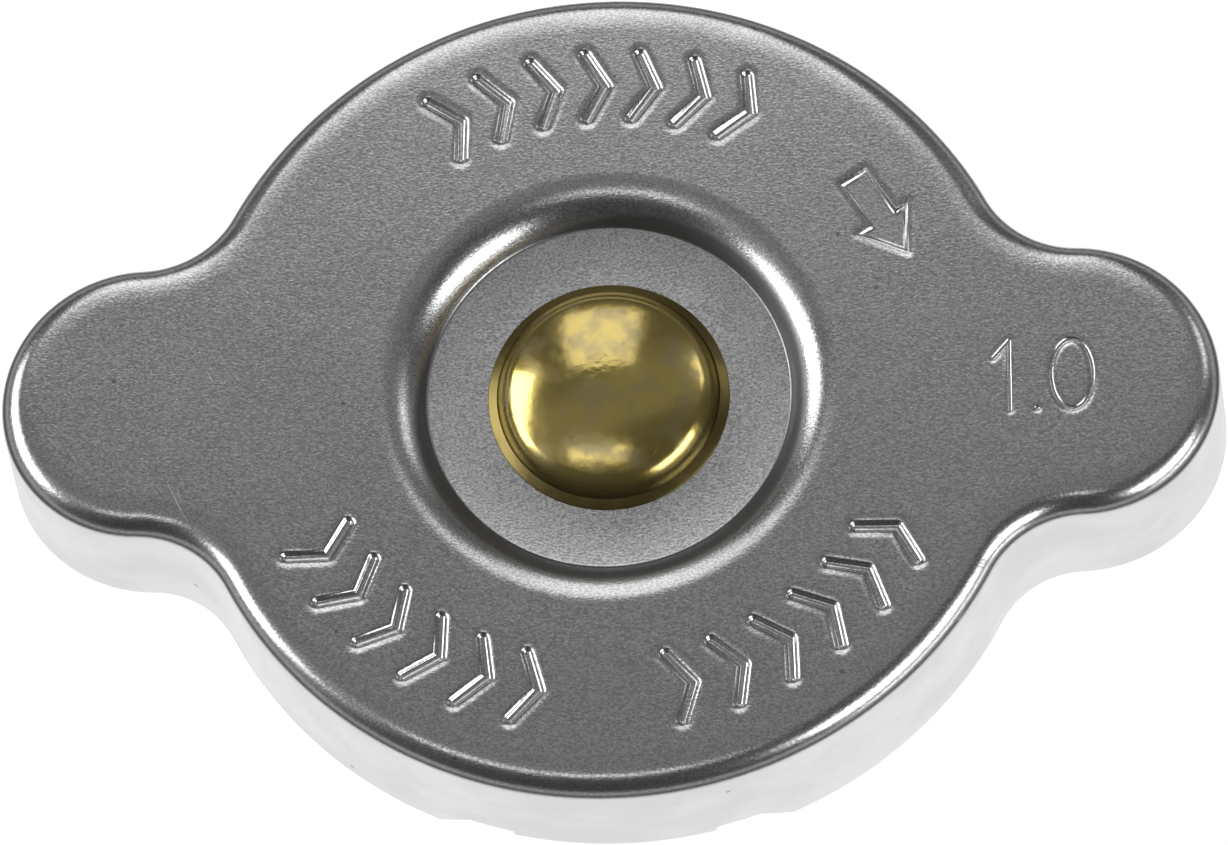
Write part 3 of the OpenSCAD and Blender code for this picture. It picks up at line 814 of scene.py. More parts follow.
def pressed_shell(settings):
    """The shell as one closed skin."""
    sizes = settings.shell
    form = ShellForm(sizes)
    half_columns, sides = form.columns()
    skin = Skin()

    def lines(columns, rows_of):
        return [[c.at(p.x, form.top + p.y) for p in rows_of(c)] for c in columns]

    def turned(columns):
        return [turned_round(column) for column in columns]

    half = sizes.sheet / 2
    for side in (half, -half):
        rows = form.rim_rows(side)
        rim = lines(half_columns, lambda c: rows)
        skin.grid(rim + turned(rim), closed=True)

    # The skirt's foot runs from one lug, round an ear, to the other lug
    first, last = sides
    before = lines(half_columns[:first + 1], lambda c: form.foot_rows(c.foot, c.square_end))
    after = lines(half_columns[last:], lambda c: form.foot_rows(c.foot, c.square_end))
    foot = turned(after) + before
    for columns in (foot, turned(foot)):
        skin.grid(columns)

    # The lugs, with their side faces
    lug_outer, lug_inner = form.lug_rows()
    lug_end = form.lug_end(lug_outer[-1], lug_inner[-1])
    start = [form.on_skirt(form.common, half)]
    finish = [form.on_skirt(form.common, -half)]
    path = start + lug_outer + lug_end + lug_inner[::-1] + finish
    lug_columns = lines(half_columns[first:last + 1], lambda c: path)
    for columns in (lug_columns, turned(lug_columns)):
        skin.grid(columns)
        for column in (columns[0], columns[-1]):
            low = column[1:1 + len(lug_outer)]
            high = column[-2:-2 - len(lug_inner):-1]
            for i in range(len(low) - 1):
                skin.polygon([low[i], low[i + 1], high[i + 1], high[i]])
            tip = column[1 + len(lug_outer):1 + len(lug_outer) + len(lug_end)]
            skin.polygon([low[-1]] + tip + [high[-1]])

    # The well, and the two faces of the top round it
    well_radius = sizes.well_radius
    skin.grid(turned_columns(form.well_chain(), form.well_segments), closed=True)

    def outline(out):
        points = [c.at(out, 0) for c in half_columns]
        return [Vector((p.x, p.y)) for p in points + turned_round(points)]

    def face_loops(inset):
        return [
            outline(-inset), outline(-inset - GUARD),
            ring(well_radius, form.well_segments), ring(well_radius + GUARD, form.well_segments),
        ]

    under = face_loops(0)
    skin.plane(under, [form.top - sizes.sheet] * len(under), rim=0, hole=2)
    over = face_loops(sizes.crown_width)
    marks, heights = contour_loops(settings.marks, form.top)
    skin.plane(over + marks, [form.top] * len(over) + heights, rim=0, hole=2)

    obj = mesh_object("pressed_shell", skin.points, skin.faces)
    mark_zones(obj.data, form)
    return obj


def mark_zones(mesh, form):
    """Tells the finish how much grain shows, where the well's floor lies, and how much painted shade darkens the
    well's wall.
    """
    s = form.sizes
    zones = {"grain": [], "well_floor": [], "well_wall_shade": []}
    for vertex in mesh.vertices:
        x, y, z = vertex.co
        radius = math.hypot(x, y)
        depth = 0 if radius < s.well_radius else min(1, (form.top - z) / s.rim_radius)
        zones["grain"].append(1 - depth)
        zones["well_floor"].append(1 if radius < form.floor_radius + WELD else 0)
        up_wall = (radius - form.floor_radius) / s.shoulder
        front = max(0, -y / s.well_radius)
        back_left = max(0, (y - x) / (radius * math.sqrt(2)))
        # The painted shade reaches higher in front and less high at the back on the left, where the lights catch
        # the wall
        reach = PAINTED_SHADE_REACH + PAINTED_SHADE_FRONT * front - PAINTED_SHADE_BACK_LEFT * back_left ** 4
        painted_shade = min(1, up_wall / PAINTED_SHADE_START, (reach - up_wall) / PAINTED_SHADE_FADE)
        zones["well_wall_shade"].append(max(0, painted_shade))
    for name, values in zones.items():
        mesh.attributes.new(name, "FLOAT", "POINT").data.foreach_set("value", values)


# Geometry Nodes

def add_node(tree, kind, inputs=None, **settings):
    """A node with its settings, and with each input set to a value or linked to a socket."""
    node = tree.nodes.new(kind)
    for name, value in settings.items():
        setattr(node, name, value)
    for name, value in (inputs or {}).items():
        if isinstance(value, bpy.types.NodeSocket):
            tree.links.new(value, node.inputs[name])
        else:
            node.inputs[name].default_value = value
    return node


def math_node(tree, operation, *values):
    inputs = dict(enumerate(values))
    return add_node(tree, "ShaderNodeMath", inputs, operation=operation).outputs[0]


def eased_turns(tree, turns, ease):
    """Turns past a bend in the pitch: none before it, rising smoothly over it, then one for one."""
    over = math_node(tree, "MAXIMUM", turns, 0.0)
    within = math_node(tree, "MINIMUM", over, ease)
    square = math_node(tree, "MULTIPLY", within, within)
    curve = math_node(tree, "DIVIDE", square, ease)
    past = math_node(tree, "SUBTRACT", over, within)
    return math_node(tree, "MULTIPLY_ADD", curve, 0.5, past)


def coil_tree():
    """A tree that winds a compression spring with closed ends about Z."""
    tree = bpy.data.node_groups.new("wound_coil", "GeometryNodeTree")
    face = tree.interface
    names = ("Mean Radius", "Wire", "Low", "High", "Turns", "End Turns", "Ease Turns", "End Pitch")
    for name in names:
        face.new_socket(name=name, in_out="INPUT", socket_type="NodeSocketFloat")
    for name in ("Rings", "Sides"):
        face.new_socket(name=name, in_out="INPUT", socket_type="NodeSocketInt")
    face.new_socket(name="Finish", in_out="INPUT", socket_type="NodeSocketMaterial")
    face.new_socket(name="Geometry", in_out="OUTPUT", socket_type="NodeSocketGeometry")
    given = tree.nodes.new("NodeGroupInput").outputs

    def calc(operation, *values):
        return math_node(tree, operation, *values)

    wire = given["Wire"]
    turns = given["Turns"]
    end_turns = given["End Turns"]
    ease = given["Ease Turns"]
    spiral = add_node(tree, "GeometryNodeCurveSpiral", {
        "Resolution": given["Rings"], "Rotations": turns, "Start Radius": given["Mean Radius"],
        "End Radius": given["Mean Radius"], "Height": 0.0,
    })
    along = add_node(tree, "GeometryNodeSplineParameter").outputs["Factor"]
    turn = calc("MULTIPLY", along, turns)
    end_rise = calc("MULTIPLY", wire, given["End Pitch"])
    span = calc("SUBTRACT", calc("SUBTRACT", given["High"], given["Low"]), wire)
    spare = calc("SUBTRACT", span, calc("MULTIPLY", end_rise, turns))
    closed = calc("MULTIPLY_ADD", end_turns, 2.0, ease)
    pitch = calc("DIVIDE", spare, calc("SUBTRACT", turns, closed))
    leave = calc("SUBTRACT", turn, end_turns)
    last = calc("SUBTRACT", turns, calc("ADD", end_turns, ease))
    arrive = calc("SUBTRACT", turn, last)
    open_turns = calc("SUBTRACT", eased_turns(tree, leave, ease), eased_turns(tree, arrive, ease))
    rise = calc("MULTIPLY_ADD", end_rise, turn, calc("MULTIPLY", pitch, open_turns))
    wire_radius = calc("MULTIPLY", wire, 0.5)
    height = calc("ADD", rise, calc("ADD", given["Low"], wire_radius))
    lift = add_node(tree, "ShaderNodeCombineXYZ", {"Z": height})
    wound = add_node(tree, "GeometryNodeSetPosition", {
        "Geometry": spiral.outputs["Curve"], "Offset": lift.outputs["Vector"],
    })
    profile = add_node(tree, "GeometryNodeCurvePrimitiveCircle", {
        "Resolution": given["Sides"], "Radius": wire_radius,
    })
    skin = add_node(tree, "GeometryNodeCurveToMesh", {
        "Curve": wound.outputs["Geometry"], "Profile Curve": profile.outputs["Curve"], "Fill Caps": True,
    })
    smooth = add_node(tree, "GeometryNodeSetShadeSmooth", {"Geometry": skin.outputs["Mesh"]})
    real = add_node(tree, "GeometryNodeRealizeInstances", {"Geometry": smooth.outputs["Geometry"]})
    coat = add_node(tree, "GeometryNodeSetMaterial", {
        "Geometry": real.outputs["Geometry"], "Material": given["Finish"],
    })
    add_node(tree, "NodeGroupOutput", {"Geometry": coat.outputs["Geometry"]})
    return tree


def grown_mesh(name, tree, values):
    """The plain mesh that a tree makes from named input values."""
    maker = bpy.data.objects.new(name, bpy.data.meshes.new(name))
    bpy.context.scene.collection.objects.link(maker)
    modifier = maker.modifiers.new(name, "NODES")
    modifier.node_group = tree
    for item in tree.interface.items_tree:
        if item.in_out == "INPUT":
            modifier[item.identifier] = values[item.name]
    graph = bpy.context.evaluated_depsgraph_get()
    mesh = bpy.data.meshes.new_from_object(maker.evaluated_get(graph), depsgraph=graph)
    maker.modifiers.remove(modifier)
    bpy.data.objects.remove(maker)
    return mesh


# Finishes

def shader_group(name, inputs, outputs):
    """An empty shader group with float sockets, and a vector socket named Vector."""
    tree = bpy.data.node_groups.new(name, "ShaderNodeTree")
    tree.interface.new_socket(name="Vector", in_out="INPUT", socket_type="NodeSocketVector")
    for way, labels in (("INPUT", inputs), ("OUTPUT", outputs)):
        for label in labels:
            tree.interface.new_socket(name=label, in_out=way, socket_type="NodeSocketFloat")
    return tree, tree.nodes.new("NodeGroupInput").outputs


def scaled(tree, vector, by):
    return add_node(tree, "ShaderNodeVectorMath", {0: vector, 1: by}, operation="MULTIPLY").outputs[0]


def noise(tree, vector, scale, detail=2.0, rough=0.5, warp=0.0):
    node = add_node(tree, "ShaderNodeTexNoise", {
        "Vector": vector, "Scale": scale, "Detail": detail, "Roughness": rough, "Distortion": warp,
    })
    return node.outputs["Fac"]


def ranged(tree, value, low, high, to_low=0.0, to_high=1.0):
    return add_node(tree, "ShaderNodeMapRange", {
        "Value": value, "From Min": low, "From Max": high, "To Min": to_low, "To Max": to_high,
    }, interpolation_type="SMOOTHSTEP").outputs["Result"]


def grain_group():
    """Fine grain, stretched along X, with a speckle of its own and broad cloudy patches."""
    outputs = ("Height", "Speckle", "Cloud")
    tree, given = shader_group("sheet_grain", ("Cells", "Stretch"), outputs)
    stretch = add_node(tree, "ShaderNodeCombineXYZ", {"X": given["Stretch"], "Y": 1.0, "Z": 1.0})
    grown = scaled(tree, given["Vector"], stretch.outputs["Vector"])
    fine = noise(tree, grown, given["Cells"], 2.5, 0.6)
    speckle = noise(tree, grown, math_node(tree, "MULTIPLY", given["Cells"], 1.4), 1.0, 0.5)
    cloud = noise(tree, grown, math_node(tree, "MULTIPLY", given["Cells"], 0.035), 3.0, 0.55)
    add_node(tree, "NodeGroupOutput", {
        "Height": ranged(tree, fine, 0.25, 0.75),
        "Speckle": ranged(tree, speckle, 0.3, 0.7),
        "Cloud": ranged(tree, cloud, 0.3, 0.7),
    })
    return tree


def scratch_group():
    """Hairline scratches in three directions, each broken up into short runs."""
    tree, given = shader_group("hairline_scratches", ("Lines", "Amount"), ("Mask",))
    # The turn of each direction, and how close its lines lie
    directions = ((0.45, 1.0), (1.9, 0.8), (2.7, 1.25))
    patch_cells = math_node(tree, "MULTIPLY", given["Lines"], 0.35)
    least = math_node(tree, "SUBTRACT", 0.82, math_node(tree, "MULTIPLY", given["Amount"], 0.3))
    total = 0.0
    for turn, share in directions:
        turned = add_node(tree, "ShaderNodeVectorRotate", {
            "Vector": given["Vector"], "Axis": (0, 0, 1), "Angle": turn,
        }).outputs["Vector"]
        drawn_out = scaled(tree, turned, (share, 0.05, share))
        lines = noise(tree, drawn_out, given["Lines"], 1.0, 0.4, warp=0.25)
        off_line = math_node(tree, "ABSOLUTE", math_node(tree, "SUBTRACT", lines, 0.5))
        line = ranged(tree, off_line, 0.002, 0.008, 1.0, 0.0)
        patch = noise(tree, scaled(tree, turned, (2.0, 0.7, 2.0)), patch_cells)
        kept = math_node(tree, "GREATER_THAN", patch, least)
        total = math_node(tree, "MULTIPLY_ADD", line, kept, total)
    add_node(tree, "NodeGroupOutput", {"Mask": math_node(tree, "MINIMUM", total, 1.0)})
    return tree


def speck_group():
    """Small round specks, here and there."""
    tree, given = shader_group("specks", ("Cells", "Size", "Share"), ("Mask",))
    cells = add_node(tree, "ShaderNodeTexVoronoi", {"Vector": given["Vector"], "Scale": given["Cells"]})
    round_spot = math_node(tree, "LESS_THAN", cells.outputs["Distance"], given["Size"])
    chance = add_node(tree, "ShaderNodeSeparateColor", {"Color": cells.outputs["Color"]}).outputs[0]
    chosen = math_node(tree, "LESS_THAN", chance, given["Share"])
    add_node(tree, "NodeGroupOutput", {"Mask": math_node(tree, "MULTIPLY", round_spot, chosen)})
    return tree


class FinishTree:
    """A material in the making: its Principled shader and the groups that feed it."""

    def __init__(self, name, **sockets):
        self.material = bpy.data.materials.new(name)
        self.material.use_nodes = True
        self.tree = self.material.node_tree
        self.shader = self.tree.nodes["Principled BSDF"]
        for socket, value in sockets.items():
            self.shader.inputs[socket.replace("_", " ")].default_value = value
        self.where = add_node(self.tree, "ShaderNodeTexCoord").outputs["Object"]

    def group(self, tree, **inputs):
        return add_node(
            self.tree, "ShaderNodeGroup", {"Vector": self.where, **inputs}, node_tree=tree
        ).outputs

    def mix(self, share, low, high):
        node = add_node(self.tree, "ShaderNodeMix", data_type="RGBA")
        for socket, value in (("Factor", share), ("A", low), ("B", high)):
            found = [i for i in node.inputs if i.name == socket and i.enabled][0]
            if isinstance(value, bpy.types.NodeSocket):
                self.tree.links.new(value, found)
            elif socket == "Factor":
                found.default_value = value
            else:
                found.default_value = (*value, 1)
        return [o for o in node.outputs if o.enabled][0]

    def attribute(self, name):
        return add_node(self.tree, "ShaderNodeAttribute", attribute_name=name).outputs["Fac"]

    def from_axis(self, centre=(0, 0, 0)):
        """How far a point lies from a line along Z."""
        flat = scaled(self.tree, self.where, (1.0, 1.0, 0.0))
        node = add_node(self.tree, "ShaderNodeVectorMath", {0: flat, 1: centre}, operation="DISTANCE")
        return node.outputs["Value"]

    def math(self, operation, *values):
        return math_node(self.tree, operation, *values)

    def times(self, value, by):
        return self.math("MULTIPLY", value, by)

    def plus(self, value, by, base):
        """A value times a factor, added to a base."""
        return self.math("MULTIPLY_ADD", value, by, base)

    def without(self, value):
        return self.math("SUBTRACT", 1.0, value)

    def range(self, value, low, high, to_low=0.0, to_high=1.0):
        return ranged(self.tree, value, low, high, to_low, to_high)

    def noise(self, scale, detail=2.0, stretch=None):
        where = scaled(self.tree, self.where, stretch) if stretch else self.where
        return noise(self.tree, where, scale, detail)

    def bump(self, height, distance, normal=None):
        inputs = {"Height": height, "Distance": distance}
        if normal is not None:
            inputs["Normal"] = normal
        return add_node(self.tree, "ShaderNodeBump", inputs).outputs["Normal"]

    def feed(self, socket, value):
        self.tree.links.new(value, self.shader.inputs[socket])


class FinishSet:
    """Every finish of the cap, each made when it is first asked for."""

    def __init__(self, colours):
        self.colours = colours
        self.made = {}
        self.grain = grain_group()
        self.scratches = scratch_group()
        self.specks = speck_group()

    def __getitem__(self, name):
        if name not in self.made:
            self.made[name] = getattr(self, name)()
        return self.made[name]

    def plated_sheet(self):
        """Bright plating: a grained, speckled top, a smoother drawn skirt, scratches and specks."""
        c = self.colours
        f = FinishTree("plated_sheet", Metallic=1.0)
        top = f.attribute("grain")
        floor = f.attribute("well_floor")
        wall = f.attribute("well_wall_shade")
        grain = f.group(self.grain, Cells=6800.0, Stretch=0.62)
        scratch = f.group(self.scratches, Lines=300.0, Amount=0.22)["Mask"]
        speck = f.group(self.specks, Cells=420.0, Size=0.07, Share=0.12)["Mask"]
        drawn = f.noise(2600.0, 2.0, (1.0, 1.0, 0.06))
        waves = f.noise(70.0, 2.0)
        dull = f.times(grain["Cloud"], 0.25)
        dull = f.plus(f.times(grain["Speckle"], top), 0.75, dull)
        tone = f.mix(dull, c.plate, c.plate_dull)
        floor_tone = f.mix(grain["Speckle"], c.plate_floor, c.plate_dull)
        tone = f.mix(floor, tone, floor_tone)
        # Painted shade: the plating low on the well's wall turns dark, standing in for shade in the recess
        tone = f.mix(f.times(wall, 0.9), tone, c.plate_stain)
        tone = f.mix(f.times(speck, 0.55), tone, c.speck)
        f.feed("Base Color", f.mix(f.times(scratch, 0.35), tone, c.scratch))
        rough = f.plus(grain["Height"], 0.06, 0.18)
        rough = f.plus(f.times(grain["Cloud"], top), 0.05, rough)
        rough = f.plus(floor, 0.07, rough)
        rough = f.plus(wall, 0.22, rough)
        f.feed("Roughness", f.plus(scratch, 0.12, rough))
        normal = f.bump(waves, 0.05 * MM)
        share = f.plus(top, 0.92, 0.08)
        normal = f.bump(f.times(grain["Height"], share), 0.004 * MM, normal)
        sides = f.without(top)
        normal = f.bump(f.times(drawn, sides), 0.003 * MM, normal)
        f.feed("Normal", f.bump(f.without(scratch), 0.004 * MM, normal))
        return f.material

    def polished_brass(self):
        """The rivet's lacquered dome: tarnish clouds, a stained edge, wrinkles, dents and specks."""
        c = self.colours
        f = FinishTree(
            "polished_brass", Metallic=0.92, Coat_Roughness=0.12, Specular_Tint=(*c.rivet_rim, 1)
        )
        grain = f.group(self.grain, Cells=2200.0, Stretch=0.8)
        scratch = f.group(self.scratches, Lines=520.0, Amount=0.5)["Mask"]
        speck = f.group(self.specks, Cells=900.0, Size=0.14, Share=0.10)["Mask"]
        edge = f.range(f.from_axis(), RIVET_STAIN_START, RIVET_STAIN_END)
        mottled = f.range(f.noise(560.0, 4.0), 0.45, 0.68)
        dull = f.plus(mottled, 0.6, f.times(speck, 0.5))
        tone = f.mix(dull, c.rivet, c.rivet_dull)
        f.feed("Base Color", f.mix(f.times(edge, 0.88), tone, c.rivet_stain))
        f.feed("Coat Weight", f.without(edge))
        rough = f.plus(mottled, 0.10, 0.16)
        rough = f.plus(edge, 0.12, rough)
        f.feed("Roughness", f.plus(scratch, 0.15, rough))
        normal = f.bump(f.noise(420.0, 2.0), 0.03 * MM)
        normal = f.bump(f.noise(1500.0, 3.0), 0.005 * MM, normal)
        crumpled = f.range(f.from_axis(RIVET_DENT), 0.2 * DENT_REACH, DENT_REACH, 1.0, 0.0)
        normal = f.bump(f.times(f.noise(2000.0, 3.0), crumpled), 0.024 * MM, normal)
        normal = f.bump(grain["Height"], 0.0016 * MM, normal)
        f.feed("Normal", f.bump(f.without(speck), 0.01 * MM, normal))
        return f.material

    def satin(self, name, bright, dull, rough, lines):
        """A satin metal with fine turning lines about the axis and cloudy patches."""
        f = FinishTree(name, Metallic=1.0)
        grain = f.group(self.grain, Cells=3000.0, Stretch=0.9)
        scratch = f.group(self.scratches, Lines=380.0, Amount=0.6)["Mask"]
        height = add_node(f.tree, "ShaderNodeSeparateXYZ", {"Vector": f.where}).outputs["Z"]
        across = add_node(f.tree, "ShaderNodeCombineXYZ", {"X": f.from_axis(), "Y": height})
        turning = noise(f.tree, across.outputs["Vector"], lines, 3.0, 0.6)
        share = f.plus(turning, 0.4, f.times(grain["Cloud"], 0.55))
        tone = f.mix(share, bright, dull)
        scratched = f.times(scratch, 0.4)
        f.feed("Base Color", f.mix(scratched, tone, self.colours.satin_scratch))
        f.feed("Roughness", f.plus(grain["Cloud"], 0.10, rough))
        normal = f.bump(turning, 0.004 * MM)
        f.feed("Normal", f.bump(grain["Height"], 0.002 * MM, normal))
        return f.material

    def satin_steel(self):
        c = self.colours
        return self.satin("satin_steel", c.steel, c.steel_dull, 0.26, 5200.0)

    def satin_brass(self):
        c = self.colours
        return self.satin("satin_brass", c.brass, c.brass_dull, 0.24, 4200.0)

    def drawn_wire(self):
        """Spring wire with drawing marks along it."""
        c = self.colours
        f = FinishTree("drawn_wire", Metallic=1.0)
        grain = f.group(self.grain, Cells=5200.0, Stretch=0.7)
        marks = f.noise(1500.0, 3.0, (0.25, 0.25, 1.6))
        share = f.plus(grain["Cloud"], 0.5, f.times(marks, 0.4))
        f.feed("Base Color", f.mix(share, c.wire, c.wire_dull))
        f.feed("Roughness", f.plus(marks, 0.12, 0.22))
        f.feed("Normal", f.bump(f.math("ADD", marks, grain["Height"]), 0.003 * MM))
        return f.material

    def black_rubber(self):
        """Moulded rubber with a fine skin, grey bloom and a little dust."""
        c = self.colours
        f = FinishTree("black_rubber", Metallic=0.0)
        grain = f.group(self.grain, Cells=2600.0, Stretch=1.0)
        speck = f.group(self.specks, Cells=1300.0, Size=0.16, Share=0.16)["Mask"]
        bloom = f.times(f.range(f.noise(160.0, 4.0), 0.45, 0.75), 0.55)
        dust = f.plus(speck, 0.5, bloom)
        f.feed("Base Color", f.mix(dust, c.rubber, c.rubber_bloom))
        rough = f.plus(grain["Height"], 0.12, 0.50)
        f.feed("Roughness", f.plus(bloom, 0.2, rough))
        f.feed("Normal", f.bump(grain["Height"], 0.006 * MM))
        return f.material

    def pale_floor(self):
        """A pale floor, clear from below; in reflections, a bright table with a dark room round it."""
        c = self.colours
        f = FinishTree(
            "pale_floor", Roughness=0.9, Specular_IOR_Level=0.0,
            Emission_Color=(1, 1, 1, 1), Emission_Strength=FLOOR_GLOW,
        )
        cloud = f.range(f.noise(18.0, 2.0), 0.3, 0.7, 0.0, 0.03)
        f.feed("Base Color", f.mix(cloud, c.floor, c.floor_cloud))
        distance = f.from_axis()
        table_end = TABLE_RADIUS + TABLE_FADE
        glow = f.range(distance, TABLE_RADIUS, table_end, TABLE_GLOW, ROOM_GLOW)
        far = f.range(distance, table_end, SKYLINE_START, 0.0, SKYLINE_GLOW)
        glow = f.math("ADD", glow, far)
        table = add_node(f.tree, "ShaderNodeEmission", {"Strength": glow})
        seen = add_node(f.tree, "ShaderNodeLightPath").outputs["Is Camera Ray"]
        both = add_node(f.tree, "ShaderNodeMixShader", {
            0: seen, 1: table.outputs["Emission"], 2: f.shader.outputs["BSDF"],
        })
        one_way = add_node(f.tree, "ShaderNodeMixShader", {
            0: add_node(f.tree, "ShaderNodeNewGeometry").outputs["Backfacing"],
            1: both.outputs["Shader"],
            2: add_node(f.tree, "ShaderNodeBsdfTransparent").outputs["BSDF"],
        })
        f.tree.links.new(one_way.outputs["Shader"], f.tree.nodes["Material Output"].inputs["Surface"])
        return f.material


FINISHES = {}


def finishes(context):
    """The finishes of this session."""
    if "set" not in FINISHES:
        FINISHES["set"] = FinishSet(context.scene.radiator_cap.finishes)
    return FINISHES["set"]


# Operators

class RADCAP_OT_press_shell(bpy.types.Operator):
    """Models the pressed shell with its sunk marks"""
    bl_idname = "radcap.press_shell"
    bl_label = "Press Shell"

    def execute(self, context):
        obj = pressed_shell(context.scene.radiator_cap)
        finished_piece(obj, finishes(context)["plated_sheet"], "cap_shell")
        return {"FINISHED"}


class RADCAP_OT_turn_rivet(bpy.types.Operator):
    """Turns the domed rivet with its flange, shank and spread tail"""
    bl_idname = "radcap.turn_rivet"
    bl_label = "Turn Rivet"

    dome_steps = 28
    crown_steps = 24
    flange_steps = 5

    def execute(self, context):
        settings = context.scene.radiator_cap
        s = settings.rivet
        low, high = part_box("centre_rivet")
        floor = high.z - s.head
        flange = high.x
        dome = flange - s.flange_width
        edge_centre = Vector((dome - s.dome_edge, 0))
        crown_centre = Vector((0, high.z - s.crown))
        inside = s.crown - s.dome_edge
        edge_centre.y = crown_centre.y + math.sqrt(inside ** 2 - edge_centre.x ** 2)
        meet = math.atan2(edge_centre.y - crown_centre.y, edge_centre.x)
        start = math.asin((floor + s.flange - edge_centre.y) / s.dome_edge)
        tail_top = low.z + s.tail_height
        body = [
            Vector((0, low.z)), Vector((s.tail, low.z)), Vector((s.tail, tail_top)),
            Vector((s.shank, tail_top)), Vector((s.shank, floor)), Vector((flange, floor)),
        ]
        dome_edge = arc_points(edge_centre, s.dome_edge, start, meet, self.dome_steps)
        slope = math.atan2(s.flange - s.flange_rim, flange - dome_edge[0].x)
        corner = Vector((flange - s.flange_edge, floor + s.flange_rim - s.flange_edge))
        flange_top = arc_points(corner, s.flange_edge, 0, math.pi / 2 - slope, self.flange_steps)
        crown = arc_points(crown_centre, s.crown, meet, math.pi / 2, self.crown_steps)[1:]
        chain = rounded(body, s.edge, closed=False) + flange_top + dome_edge + crown
        chain[-1].x = 0
        obj = lathe("domed_rivet", chain, False, settings.turned.segments)
        finished_piece(obj, finishes(context)["polished_brass"], "centre_rivet")
        return {"FINISHED"}


def turn_pieces(context, pieces, edge):
    """Turns each solid's section, with its edges rounded, into a finished piece."""
    segments = context.scene.radiator_cap.turned.segments
    for node, name, finish in pieces:
        chain, closed = section(node)
        obj = lathe(name, rounded(chain, edge, closed), closed, segments)
        finished_piece(obj, finishes(context)[finish], node)


class RADCAP_OT_turn_valve_pieces(bpy.types.Operator):
    """Turns the washers, the disc, the cup, the plate and the vacuum valve"""
    bl_idname = "radcap.turn_valve_pieces"
    bl_label = "Turn Valve Pieces"

    # Each solid with the name of the piece that stands for it and its finish
    pieces = (
        ("rivet_washer", "tail_washer", "satin_steel"),
        ("swivel_washer", "brass_swivel_washer", "satin_brass"),
        ("spring_disc", "dished_disc", "satin_steel"),
        ("spring_cup", "drawn_spring_cup", "satin_steel"),
        ("seal_plate", "flanged_seal_plate", "satin_steel"),
        ("vacuum_seat", "flared_vacuum_seat", "satin_brass"),
        ("vacuum_valve", "stemmed_vacuum_dish", "satin_brass"),
        ("spring_keeper", "cupped_keeper", "satin_brass"),
    )

    def execute(self, context):
        turn_pieces(context, self.pieces, context.scene.radiator_cap.turned.metal_edge)
        return {"FINISHED"}


class RADCAP_OT_draw_bell(bpy.types.Operator):
    """Makes the drawn bell with its windows from its solid"""
    bl_idname = "radcap.draw_bell"
    bl_label = "Draw Bell"

    def execute(self, context):
        bm = merged_copy("bell_housing")
        mesh = bpy.data.meshes.new("drawn_bell")
        bm.to_mesh(mesh)
        bm.free()
        obj = shown_object("drawn_bell", mesh)
        finished_piece(obj, finishes(context)["satin_steel"], "bell_housing")
        return {"FINISHED"}


class RADCAP_OT_mould_seals(bpy.types.Operator):
    """Moulds the three rubber seals"""
    bl_idname = "radcap.mould_seals"
    bl_label = "Mould Seals"

    pieces = (
        ("rim_gasket", "rubber_rim_ring", "black_rubber"),
        ("main_seal", "rubber_main_seal", "black_rubber"),
        ("vacuum_gasket", "rubber_vacuum_washer", "black_rubber"),
    )

    def execute(self, context):
        turn_pieces(context, self.pieces, context.scene.radiator_cap.turned.rubber_edge)
        return {"FINISHED"}


class RADCAP_OT_wind_springs(bpy.types.Operator):
    """Winds the main spring and the vacuum spring"""
    bl_idname = "radcap.wind_springs"
    bl_label = "Wind Springs"

    def execute(self, context):
        s = context.scene.radiator_cap.springs
        finish = finishes(context)["drawn_wire"]
        tree = coil_tree()
        springs = (
            ("main_spring", "wound_main_spring", s.main_wire, s.main_turns, "pressure_lift"),
            ("vacuum_spring", "wound_vacuum_spring", s.vacuum_wire, s.vacuum_turns, "vacuum_drop"),
        )
        for node, name, wire, turns, joint_name in springs:
            low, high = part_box(node)
            mesh = grown_mesh(name, tree, {
                "Mean Radius": high.x - wire / 2, "Wire": wire, "Low": low.z, "High": high.z,
                "Turns": turns, "End Turns": s.end_turns, "Ease Turns": s.ease_turns,
                "End Pitch": s.end_pitch, "Rings": s.rings, "Sides": s.sides,
                "Finish": finish,
            })
            obj = shown_object(name, mesh)
            finished_piece(obj, finish, node)
            joint = next(j for j in frame["joints"] if j["name"] == joint_name)
            fixed = joint["deforming_nodes"][0]["fixed_end_z_m"]
            far_end = low.z if abs(high.z - fixed) < abs(low.z - fixed) else high.z
            keep = 1 - joint["range_m"][1] / abs(far_end - fixed)
            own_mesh(obj)
        return {"FINISHED"}


